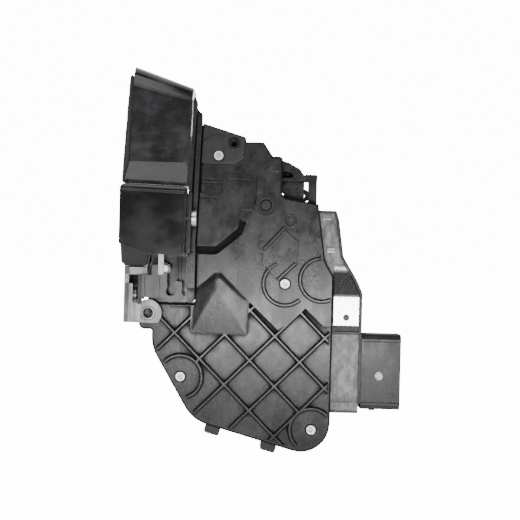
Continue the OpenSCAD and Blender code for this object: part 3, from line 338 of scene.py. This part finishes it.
def moulded_plastic(name, colour, grain, edge, gloss=0.11, deep=None):
    """Glass-filled black moulding: fine grain, cloudy flow marks, rubbed edges, dust, and painted shade in
    crevices and on walls that turn away from the front.

    A depth given as deep makes it dull and darkened with painted shade below that, and rounds the blister's
    edges.
    """
    m = Shade(name)
    if deep is None:
        radius = edge
    else:
        raised = m.between(m.height(), BLISTER_FOOT, BLISTER_FOOT - 0.1)
        radius = edge + m.within(BLISTER_MIDDLE, BLISTER_REACH) * raised * (BLISTER_SOFTNESS * MM)
    soft, rim = m.edges(radius)
    # Painted shade: walls that turn away from the front are darkened in colour.
    flank = 1 - m.facing()
    patches = m.noise(26, 2, 0.5)
    flow = m.noise(9, 4, 0.6, stretch=(1, 1, 3.2), offset=31)
    fine = m.noise(0.32, 2, 0.7)
    fibres = m.noise(0.5, 3, 0.6, stretch=(3.4, 1, 0.8), offset=12)
    clouds = m.between(m.noise(7, 5, 0.62, stretch=(1, 1, 1.5), offset=71), 0.36, 0.64)
    shade = m.crevice(3.4 * MM)
    crevice = shade if deep is None else (shade + m.between(m.height(), deep, deep + 0.15)).clamp()
    dust = m.between(m.noise(0.9, 4, 0.75, offset=57), 0.66, 0.78) * m.between(patches, 0.45, 0.62)
    mottle = m.between(flow, 0.38, 0.62) * 0.5 + clouds * 0.5
    colour_a = m.blend(mottle, tint(colour, 0.6), tint(colour, 1.7))
    colour_b = m.blend(m.between(fibres, 0.52, 0.74) * 0.35, colour_a, tint(colour, 2.1))
    colour_c = m.blend(dust * 0.35, colour_b, (0.3, 0.295, 0.285))
    wear_and_painted_light = m.blend(rim * m.between(fine, 0.35, 0.7) * 0.2, colour_c, tint(colour, 3.0))
    # Painted shade: crevices, the part below deep and turned-away walls are darkened nearly to black, and made
    # rougher.
    painted_shade_mask = (crevice + flank * 0.85).clamp()
    shaded = m.blend(painted_shade_mask * 0.95, wear_and_painted_light, tint(colour, 0.08))
    rough = gloss + patches * 0.08 + clouds * 0.1 + fine * 0.05 + dust * 0.04 - rim * 0.06 + painted_shade_mask * 0.6
    waves = m.bump(flow + clouds * 0.5, grain * 6, soft)
    return m.finish(shaded, rough.clamp(), m.bump(fine + fibres, grain, waves))


def tray_plastic(name, colour, grain, edge, floor):
    """The wire channel's plastic, with a pale film of grease and dust on its floor."""
    m = Shade(name)
    soft, rim = m.edges(edge)
    fine = m.noise(0.4, 3, 0.7)
    clouds = m.between(m.noise(4, 5, 0.65, stretch=(1, 1, 1.8), offset=61), 0.36, 0.64)
    film = m.between(m.height(), floor - 0.6, floor - 0.2) * m.facing()
    bare = m.blend(clouds, tint(colour, 0.7), tint(colour, 1.4))
    pale = m.blend((clouds * 0.6 + fine * 0.5).clamp(), (0.14, 0.14, 0.14), (0.5, 0.5, 0.49))
    greased = m.blend(film * (0.55 + clouds * 0.4), bare, pale)
    rough = 0.28 + clouds * 0.12 + fine * 0.1 - rim * 0.05
    return m.finish(greased, rough.clamp(), m.bump(fine * 0.6 + clouds * 0.5, grain, soft))


def glossy_plastic(name, colour, grain, edge, film=2.2):
    """Polished black moulding with finger smears, a hazy film, fine specks, a slight orange peel and painted
    highlights along its edges.
    """
    m = Shade(name)
    soft, rim = m.edges(edge)
    smear = m.between(m.noise(13, 3, 0.5, stretch=(1, 1, 1.6), offset=5), 0.38, 0.64)
    haze = m.between(m.noise(6, 3, 0.5, stretch=(1.7, 1, 1), offset=83), 0.44, 0.68)
    specks = m.between(m.noise(0.8, 3, 0.6, offset=14), 0.7, 0.76) * smear
    peel = m.noise(1.6, 2, 0.4, offset=9)
    colour_a = m.blend(smear * 0.5 + haze * 0.5, tint(colour, film * 0.25), tint(colour, film))
    colour_b = m.blend(specks * 0.5, colour_a, tint(colour, 9.0))
    # Painted highlight: edges lightened up to eightfold as bright lines.
    wear_and_painted_light = m.blend(rim * 0.4, colour_b, tint(colour, 8.0))
    rough = 0.13 + haze * 0.05 + specks * 0.2 + smear * 0.06
    return m.finish(wear_and_painted_light, rough.clamp(), m.bump(peel, grain * 0.5, soft))


def rolled_steel(name, colour, edge, rough=0.34, metal=0.9, wear=0.5, plating=0.5, reflection_bands=0.0):
    """Cold-rolled plate with rolling lines, cloudy plating, scratches, brighter sheared edges and optional
    painted reflection streaks running up the plate.
    """
    m = Shade(name)
    soft, rim = m.edges(edge)
    lines = m.noise(0.22, 2, 0.6, stretch=(1, 1, 30), offset=3)
    cloud = m.noise(6.5, 4, 0.6, offset=21)
    scratch = m.between(m.noise(0.35, 2, 0.5, stretch=(1, 12, 14), offset=66), 0.66, 0.72)
    spots = m.between(m.noise(1.3, 4, 0.7, offset=47), 0.58, 0.7)
    colour_a = m.blend(m.between(cloud, 0.32, 0.7) * plating, tint(colour, 0.7), tint(colour, 1.25))
    # Painted reflection: vertical dark and light streaks in the colour stand in for reflections on the plate.
    reflection_stripe = m.between(m.noise(2.6, 2, 0.5, stretch=(1, 1, 14), offset=52), 0.4, 0.6)
    reflection_banded = m.blend(reflection_stripe * reflection_bands, colour_a, tint(colour, 0.3))
    colour_b = m.blend(spots * 0.45, reflection_banded, tint(colour, 0.5))
    colour_c = m.blend(scratch * wear, colour_b, tint(colour, 1.9))
    wear_and_painted_light = m.blend(rim * wear, colour_c, tint(colour, 2.2))
    shine = rough * (0.7 + cloud * 0.5 + spots * 0.4 - rim * 0.2 + lines * 0.2)
    relief = lines * 0.5 + scratch * 0.5 + spots * 0.3
    return m.finish(wear_and_painted_light, shine.clamp(), m.bump(relief, 0.012 * MM, soft), metal=metal)


def black_coating(name, colour, edge):
    """Black e-coat on steel: satin, with orange peel and metal showing at the edges."""
    m = Shade(name)
    soft, rim = m.edges(edge)
    peel = m.noise(0.9, 3, 0.5)
    cloud = m.noise(8, 4, 0.6, offset=17)
    chips = m.between(m.noise(0.7, 4, 0.7, offset=29), 0.54, 0.62) * rim
    colour_a = m.blend(m.between(cloud, 0.3, 0.7), tint(colour, 0.8), tint(colour, 1.3))
    wear_and_painted_light = m.blend(chips, colour_a, (0.34, 0.34, 0.34))
    return m.finish(wear_and_painted_light, (0.36 + cloud * 0.16).clamp(), m.bump(peel, 0.02 * MM, soft), metal=chips * 0.8)


def turned_metal(name, colour, edge, rough=0.24):
    """Turned or headed metal with fine tool marks, dull spots and painted shade in its sockets and hollows."""
    m = Shade(name)
    soft, rim = m.edges(edge)
    marks = m.noise(0.16, 2, 0.5, stretch=(1, 9, 1), offset=8)
    painted_recess_shade = m.crevice(1.1 * MM)
    dull = m.between(m.noise(1.6, 4, 0.65, offset=33), 0.42, 0.68)
    colour_a = m.blend(dull * 0.6, colour, tint(colour, 0.55))
    rubbed = m.blend(rim * 0.5, colour_a, tint(colour, 1.4))
    # Painted shade: the colour is darkened nearly to black in sockets and hollows.
    wear_and_painted_light = m.blend(painted_recess_shade * 0.85, rubbed, tint(colour, 0.08))
    shine = (rough + dull * 0.2 + marks * 0.1).clamp()
    return m.finish(wear_and_painted_light, shine, m.bump(marks + dull, 0.01 * MM, soft), metal=1.0)


def gear_resin(name, colour, edge):
    """Unfilled gear plastic with a waxy surface and a trace of grease."""
    m = Shade(name)
    soft, rim = m.edges(edge)
    cloud = m.noise(5, 3, 0.5)
    grease = m.between(m.noise(2.6, 4, 0.6, offset=44), 0.55, 0.68)
    colour_a = m.blend(m.between(cloud, 0.3, 0.7), tint(colour, 0.9), tint(colour, 1.06))
    stained = m.blend(grease * 0.5, colour_a, (0.42, 0.36, 0.24))
    shine = (0.4 - grease * 0.22 + cloud * 0.08).clamp()
    return m.finish(stained, shine, m.bump(cloud + grease, 0.03 * MM, soft))


def foam_rubber(name):
    """Open-cell foam: dark pores, pale cell walls and lint."""
    m = Shade(name)
    pores = m.cells(0.62)
    large = m.cells(1.3, 7)
    lint = m.between(m.noise(0.7, 3, 0.7, offset=18), 0.6, 0.72)
    wall = m.between(pores, 0.38, 0.72)
    colour_a = m.blend(wall, (0.014, 0.014, 0.014), (0.15, 0.148, 0.144))
    colour_b = m.blend(lint * 0.5, colour_a, (0.2, 0.195, 0.185))
    relief = wall * 0.6 + m.between(large, 0.2, 0.6) * 0.4
    return m.finish(colour_b, 0.92, m.bump(relief, 0.18 * MM), specular=0.2)


def black_rubber(name):
    """Moulded rubber, dull, with a faint bloom."""
    m = Shade(name)
    bloom = m.between(m.noise(2.4, 4, 0.6), 0.45, 0.7)
    fine = m.noise(0.25, 2, 0.6)
    colour = m.blend(bloom * 0.6, (0.010, 0.010, 0.010), (0.032, 0.031, 0.030))
    return m.finish(colour, (0.62 + bloom * 0.2).clamp(), m.bump(fine, 0.02 * MM), specular=0.3)


def pale_floor(name, colour, white):
    """Plain matt floor that the camera sees glowing as a light table does, and the part only faintly."""
    m = Shade(name)
    cloud = m.noise(240, 2, 0.5)
    matt = m.node("ShaderNodeBsdfDiffuse", {}, {"Color": m.blend(cloud, tint(colour, 0.985), colour)})
    table = m.node("ShaderNodeEmission", {}, {"Strength": white})
    under = m.node("ShaderNodeEmission", {}, {"Strength": 0.5})
    rays = m.node("ShaderNodeLightPath", {}, {}, out="Is Camera Ray")
    shine = m.node("ShaderNodeMixShader", {}, {0: rays, 1: under, 2: table})
    both = m.node("ShaderNodeAddShader", {}, {0: matt, 1: shine})
    m.node("ShaderNodeOutputMaterial", {}, {"Surface": both})
    return m.material


# ---------------------------------------------------------------- mesh helpers


def wear(node, material):
    """Gives a CAD node its finish."""
    mesh = NODES[node].data
    mesh.materials.clear()
    mesh.materials.append(material)


def piece(name, mesh, material):
    """Puts a finished mesh in the scene as an object."""
    obj = bpy.data.objects.new(name, mesh)
    bpy.context.scene.collection.objects.link(obj)
    mesh.materials.append(material)
    return obj


def mesh_from(name, build):
    """A smooth-shaded mesh that a function fills through bmesh."""
    bm = bmesh.new()
    build(bm)
    bmesh.ops.recalc_face_normals(bm, faces=bm.faces)
    mesh = bpy.data.meshes.new(name)
    bm.to_mesh(mesh)
    bm.free()
    mesh.shade_smooth()
    return mesh


def tube(bm, path, radius, sides=12):
    """A round wire along a list of points, with closed ends."""
    rings = []
    side = (path[1] - path[0]).orthogonal().normalized()
    for i, point in enumerate(path):
        ahead = (path[min(i + 1, len(path) - 1)] - path[max(i - 1, 0)]).normalized()
        side = (side - ahead * side.dot(ahead)).normalized()
        up = ahead.cross(side)
        rings.append([
            bm.verts.new(point + radius * (math.cos(a) * side + math.sin(a) * up))
            for a in (2 * math.pi * k / sides for k in range(sides))])
    for low, high in zip(rings, rings[1:]):
        for k in range(sides):
            bm.faces.new((low[k], low[(k + 1) % sides], high[(k + 1) % sides], high[k]))
    bm.faces.new(rings[0])
    bm.faces.new(list(reversed(rings[-1])))


def rounded_block(bm, low, high, radius, cuts):
    """A block with rounded edges and enough faces to be shaped further."""
    size = high - low
    fitted = Matrix.Translation((low + high) / 2) @ Matrix.Diagonal((*size, 1.0))
    bmesh.ops.create_cube(bm, size=1.0, matrix=fitted)
    bmesh.ops.bevel(bm, geom=list(bm.edges), offset=radius, segments=4, profile=0.5, affect="EDGES")
    bmesh.ops.subdivide_edges(bm, edges=list(bm.edges), cuts=cuts, use_grid_fill=True)


# ---------------------------------------------------------------- operators


class LATCH_OT_stage(bpy.types.Operator):
    """Make the camera, the pale floor and the soft lights"""

    bl_idname = "latch.stage"
    bl_label = "Stage"

    def execute(self, context):
        s = context.scene.latch_stage
        data = bpy.data.cameras.new("photo_camera")
        data.lens = s.lens
        data.sensor_width = 36
        camera = bpy.data.objects.new("photo_camera", data)
        camera.matrix_world = (
            Matrix.Translation((s.aim_x, -s.distance, s.aim_z))
            @ Matrix.Rotation(math.pi / 2, 4, "X") @ Matrix.Rotation(s.roll, 4, "Z"))
        context.scene.collection.objects.link(camera)
        context.scene.camera = camera

        low, high = CAD_BOX
        middle = (low + high) / 2

        def floor_disc(bm):
            level = low.z - FLOOR_GAP
            centre = bm.verts.new((middle.x, middle.y, level))
            last = None
            for r in FLOOR_RINGS:
                ring = []
                for k in range(FLOOR_CORNERS):
                    a = 2 * math.pi * k / FLOOR_CORNERS
                    x, y = middle.x + r * math.cos(a), middle.y + r * math.sin(a)
                    ring.append(bm.verts.new((x, y, level)))
                for k in range(FLOOR_CORNERS):
                    after = (k + 1) % FLOOR_CORNERS
                    if last is None:
                        bm.faces.new((centre, ring[k], ring[after]))
                    else:
                        bm.faces.new((last[k], ring[k], ring[after], last[after]))
                last = ring

        matt = pale_floor("floor_matt", tuple(s.floor_colour), s.white)
        floor = piece("floor", mesh_from("floor", floor_disc), matt)

        def lamp(name, where, size, power, aim=middle):
            light = bpy.data.lights.new(name, "AREA")
            light.shape = "RECTANGLE"
            light.size, light.size_y = size
            light.energy = power
            lamp_object = bpy.data.objects.new(name, light)
            lamp_object.location = where
            lamp_object.rotation_euler = (aim - Vector(where)).to_track_quat("-Z", "Y").to_euler()
            lamp_object.visible_camera = False
            context.scene.collection.objects.link(lamp_object)

        straight_ahead = Vector((FRONT_LAMP[0], 0, FRONT_LAMP[2]))
        straight_down = Vector((TOP_LAMP[0], TOP_LAMP[1], 0))
        lamp("front_box", FRONT_LAMP, tuple(s.front_size), s.front_power, straight_ahead)
        lamp("top_box", TOP_LAMP, TOP_LAMP_SIZE, s.top_power, straight_down)
        lamp("back_box", BACK_LAMP, BACK_LAMP_SIZE, s.back_power)

        world = bpy.data.worlds.new("studio")
        world.use_nodes = True
        context.scene.world = world
        sky = Shade.of(world.node_tree)
        direction = sky.node("ShaderNodeTexCoord", {}, {}, out="Generated")
        across = sky.node("ShaderNodeSeparateXYZ", {}, {0: direction}, out="X")
        along = sky.node("ShaderNodeSeparateXYZ", {}, {0: direction}, out="Y")
        up = sky.node("ShaderNodeSeparateXYZ", {}, {0: direction}, out="Z")
        front = sky.between(0 - along, 0.92, 0.99)
        behind = sky.between(along, 0.1, 0.9)
        sides = sky.between(across * across, 0.4, 0.8)
        over = sky.between(up, 0.2, 0.8) * sky.between(along, 0, 0.4)
        glow = 0.05 + front * 0.35 + sides * 1.6 + behind * 0.5 + over * 1.2
        ambient = sky.node("ShaderNodeBackground", {}, {"Strength": glow})
        seen = sky.node("ShaderNodeBackground", {}, {"Color": (1, 1, 1), "Strength": s.white})
        rays = sky.node("ShaderNodeLightPath", {}, {}, out="Is Camera Ray")
        mixed = sky.node("ShaderNodeMixShader", {}, {0: rays, 1: ambient, 2: seen})
        sky.node("ShaderNodeOutputWorld", {}, {"Surface": mixed})
        return {"FINISHED"}


class LATCH_OT_mouldings(bpy.types.Operator):
    """Give the plastic parts their moulded finishes"""

    bl_idname = "latch.mouldings"
    bl_label = "Plastic mouldings"

    def execute(self, context):
        s = context.scene.latch_finish
        edge = s.soft_edge
        on_cover, on_housing, on_socket, on_head = (
            tuple(colour) for colour in (s.cover_colour, s.housing_colour, s.socket_colour, s.head_colour))
        cover = moulded_plastic("cover_plastic", on_cover, s.grain, edge, deep=GROOVE_DEPTH)
        tray = tray_plastic("tray_plastic", on_housing, s.grain, edge, TRAY_FLOOR)
        housing = moulded_plastic("housing_plastic", on_housing, s.grain, edge, gloss=0.15)
        socket = moulded_plastic("connector_plastic", on_socket, s.grain * 0.7, edge, gloss=0.2)
        head = glossy_plastic("gloss_black", on_head, s.grain, edge)
        hood = glossy_plastic("hood_black", on_head, s.grain, edge, film=7.0)
        hub = moulded_plastic("hub_plastic", tint(on_cover, 0.6), s.grain * 2, edge, gloss=0.4)
        resin = gear_resin("gear_plastic", (0.78, 0.76, 0.68), edge * 0.6)
        for node, material in (
                ("front_cover", cover), ("rear_housing", tray), ("cable_bracket", housing),
                ("spine_bracket", housing), ("lock_hub", hub), ("claw_coat", housing),
                ("connector_shell", socket), ("contact_frame", socket), ("microswitches", socket),
                ("weather_hood", hood), ("latch_box", head), ("wire_tray", tray), ("ring_stud", head),
                ("worm_wheel", resin), ("lock_lever", resin), ("lever_guide", resin)):
            wear(node, material)
        return {"FINISHED"}


class LATCH_OT_metals(bpy.types.Operator):
    """Give the plates, levers, pins and screws their metal finishes"""

    bl_idname = "latch.metals"
    bl_label = "Metal parts"

    def execute(self, context):
        s = context.scene.latch_finish
        edge = s.soft_edge
        # The latch plates get painted vertical reflection streaks.
        plate = rolled_steel("latch_steel", tuple(s.steel_colour), edge, rough=0.3, reflection_bands=0.6)
        lever = rolled_steel("lever_steel", tuple(s.lever_colour), edge * 1.5, rough=0.36, metal=0.75,
                             wear=0.8)
        strip = rolled_steel("bright_strip", (0.94, 0.94, 0.92), edge, rough=0.12, metal=0.95, wear=0.2,
                             plating=0.2)
        zinc = turned_metal("zinc_screw", (0.94, 0.94, 0.92), edge * 0.5, rough=0.3)
        coated = black_coating("plate_black", (0.018, 0.018, 0.019), edge)
        bright = turned_metal("bright_steel", (0.78, 0.78, 0.76), edge * 0.5)
        brass = turned_metal("brass", (0.72, 0.53, 0.24), edge * 0.4)
        tin = turned_metal("tin", (0.72, 0.66, 0.5), edge * 0.4, rough=0.3)
        for node, material in (
                ("face_plate", plate), ("back_plate", plate), ("claw", plate), ("pawl", plate),
                ("lock_motor", plate), ("release_lever", lever), ("outside_lever", lever),
                ("key_lever", lever), ("release_link", strip), ("channel_plate", strip), ("upper_plate", coated),
                ("cover_screws", zinc), ("spine_rivet", bright), ("claw_pin", bright), ("pawl_pin", bright),
                ("release_pin", bright), ("outside_pin", bright), ("wheel_axle", bright), ("worm", brass),
                ("connector_pins", tin)):
            wear(node, material)
        return {"FINISHED"}


class LATCH_OT_foam(bpy.types.Operator):
    """Make the foam strip round the hood's open side"""

    bl_idname = "latch.foam"
    bl_label = "Foam strip"

    def execute(self, context):
        s = context.scene.latch_soft
        mesh = NODES["foam_seal"].data.copy()
        strip = piece("foam_strip", mesh, foam_rubber("foam"))
        mesh.materials.clear()
        mesh.materials.append(bpy.data.materials["foam"])
        remesh = strip.modifiers.new("even_skin", "REMESH")
        remesh.mode = "VOXEL"
        remesh.voxel_size = FOAM_VOXEL
        smooth = strip.modifiers.new("rounding", "SMOOTH")
        smooth.factor = 0.6
        smooth.iterations = 5
        evaluated = strip.evaluated_get(context.evaluated_depsgraph_get())
        shaped = bpy.data.meshes.new_from_object(evaluated)
        strip.modifiers.clear()
        strip.data = shaped
        for vertex in shaped.vertices:
            where = vertex.co / (1.1 * MM)
            swell = s.foam_swell * (0.35 + 0.65 * noise.noise(vertex.co / (7 * MM)))
            torn = s.pore_depth * noise.fractal(where, 0.8, 2.0, 4)
            vertex.co += vertex.normal * (swell * 0.6 + torn)
        shaped.shade_smooth()
        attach(strip, "housing")
        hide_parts("foam_seal")
        return {"FINISHED"}


class LATCH_OT_rubber(bpy.types.Operator):
    """Make the rubber stop at the end of the striker mouth, and finish the housing's seal"""

    bl_idname = "latch.rubber"
    bl_label = "Rubber parts"

    def execute(self, context):
        s = context.scene.latch_soft
        low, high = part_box("bump_stop")
        rubber = black_rubber("rubber")

        def stop(bm):
            rounded_block(bm, low, high, s.bumper_round, 2)
            for vertex in bm.verts:
                along = (vertex.co.z - low.z) / (high.z - low.z)
                across = (vertex.co.x - low.x) / (high.x - low.x)
                crown = math.sin(math.pi * along) * math.sin(math.pi * across)
                if vertex.co.y > high.y - 0.2 * MM:
                    vertex.co.y += 0.5 * MM * (crown - 1) * 0.8

        bumper = piece("striker_bumper", mesh_from("striker_bumper", stop), rubber)
        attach(bumper, "housing")
        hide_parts("bump_stop")
        wear("housing_seal", rubber)
        return {"FINISHED"}


class LATCH_OT_marks(bpy.types.Operator):
    """Mould the bare dial's ticks on the cover and set the sealing dab on the connector"""

    bl_idname = "latch.marks"
    bl_label = "Dial ticks and sealing dab"

    def execute(self, context):
        s = context.scene.latch_soft
        ring = Vector(DIAL_MIDDLE) * MM

        def ticks(bm):
            foot = [(-0.25, 0.5, 1.45), (0.25, 0.5, 1.45), (0.25, 0.5, 2.65), (-0.25, 0.5, 2.65)]
            top = [(-0.14, 0, 1.6), (0.14, 0, 1.6), (0.14, 0, 2.5), (-0.14, 0, 2.5)]
            for k in range(s.dial_ticks):
                turn = Matrix.Rotation(2 * math.pi * k / s.dial_ticks, 4, "Y")
                low, high = (
                    [bm.verts.new(turn @ (Vector(p) * MM) + ring) for p in loop] for loop in (foot, top))
                bm.faces.new(low)
                bm.faces.new(list(reversed(high)))
                for i in range(4):
                    bm.faces.new((low[i], low[i - 1], high[i - 1], high[i]))

        dial = piece("dial_marks", mesh_from("dial_marks", ticks), bpy.data.materials["hub_plastic"])
        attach(dial, "housing")

        middle = Vector(DAB_PLACE) * MM
        metal = turned_metal("dab_metal", (0.86, 0.86, 0.84), 0.05 * MM, rough=0.45)

        def dab(bm):
            bmesh.ops.create_uvsphere(bm, u_segments=40, v_segments=24, radius=1.0)
            for vertex in bm.verts:
                lumps = noise.fractal(vertex.co * 1.4, 0.9, 2.0, 4)
                wide = s.dab_radius * (1 + 0.16 * lumps)
                out = vertex.co
                thick = 0.55 * MM * (1 + 0.5 * lumps)
                vertex.co = middle + Vector((out.x * wide, out.z * thick, out.y * wide))

        blob = piece("sealing_dab", mesh_from("sealing_dab", dab), metal)
        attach(blob, "housing")
        return {"FINISHED"}


class LATCH_OT_springs(bpy.types.Operator):
    """Wind the torsion springs of the claw, the pawl and the release lever"""

    bl_idname = "latch.springs"
    bl_label = "Torsion springs"

    def execute(self, context):
        s = context.scene.latch_soft
        wire = turned_metal("spring_wire", (0.62, 0.62, 0.6), 0.05 * MM, rough=0.3)

        def coil(node, name, axis, wire_radius, turned, leg_in, leg_out):
            low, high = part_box(node)
            middle = (low + high) / 2
            start, end = low[axis] + wire_radius, high[axis] - wire_radius
            other = [i for i in range(3) if i != axis]
            radius = (high[other[0]] - low[other[0]]) / 2 - wire_radius
            turns = max(2, round((end - start) / (COIL_PITCH * wire_radius)))
            steps = STEPS_PER_TURN * turns

            def point(angle, along, r):
                p = Vector((0, 0, 0))
                p[axis] = along
                p[other[0]] = middle[other[0]] + r * math.cos(angle)
                p[other[1]] = middle[other[1]] + r * math.sin(angle)
                return p

            first = point(turned, start, radius)
            tangent = (point(turned + 0.01, start, radius) - first).normalized()
            path = [first - tangent * leg_in]
            for k in range(steps + 1):
                t = k / steps
                path.append(point(turned + 2 * math.pi * turns * t, start + (end - start) * t, radius))
            tangent = (path[-1] - path[-2]).normalized()
            path.append(path[-1] + tangent * leg_out)
            spring = piece(name, mesh_from(name, lambda bm: tube(bm, path, wire_radius)), wire)
            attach(spring, "housing")
            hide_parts(node)

        coil("claw_spring", "claw_torsion_spring", 0, s.claw_wire, 0.4, 2.0 * MM, 2.0 * MM)
        coil("pawl_spring", "pawl_torsion_spring", 0, s.pawl_wire, 2.2, 1.5 * MM, 1.5 * MM)
        coil("release_spring", "lever_torsion_spring", 1, s.lever_wire, 1.2, 1.5 * MM, 2.5 * MM)
        return {"FINISHED"}


class LATCH_PT_looks(bpy.types.Panel):
    """Runs the latch's operators and shows their settings"""

    bl_label = "Door latch looks"
    bl_idname = "LATCH_PT_looks"
    bl_space_type = "VIEW_3D"
    bl_region_type = "UI"
    bl_category = "Latch"

    def draw(self, context):
        column = self.layout.column()
        for operator in OPERATORS:
            column.operator(operator.bl_idname)
        for group in ("latch_finish", "latch_soft", "latch_stage"):
            settings = getattr(context.scene, group)
            box = self.layout.box()
            for name in settings.__annotations__:
                box.prop(settings, name)


SETTINGS = {
    "latch_finish": LatchFinishSettings,
    "latch_soft": LatchSoftSettings,
    "latch_stage": LatchStageSettings,
}
OPERATORS = (
    LATCH_OT_stage, LATCH_OT_mouldings, LATCH_OT_metals, LATCH_OT_foam, LATCH_OT_rubber,
    LATCH_OT_marks, LATCH_OT_springs)


def register():
    """Registers the settings, operators and panel."""
    for name, group in SETTINGS.items():
        bpy.utils.register_class(group)
        setattr(bpy.types.Scene, name, bpy.props.PointerProperty(type=group))
    for operator in OPERATORS:
        bpy.utils.register_class(operator)
    bpy.utils.register_class(LATCH_PT_looks)


def unregister():
    """Takes the panel, operators and settings away again."""
    bpy.utils.unregister_class(LATCH_PT_looks)
    for operator in reversed(OPERATORS):
        bpy.utils.unregister_class(operator)
    for name, group in SETTINGS.items():
        delattr(bpy.types.Scene, name)
        bpy.utils.unregister_class(group)


def main():
    """Makes every piece in order."""
    register()
    for operator in (bpy.ops.latch.stage, bpy.ops.latch.mouldings, bpy.ops.latch.metals, bpy.ops.latch.foam,
                     bpy.ops.latch.rubber, bpy.ops.latch.marks, bpy.ops.latch.springs):
        operator()


if __name__ == "__main__":
    main()
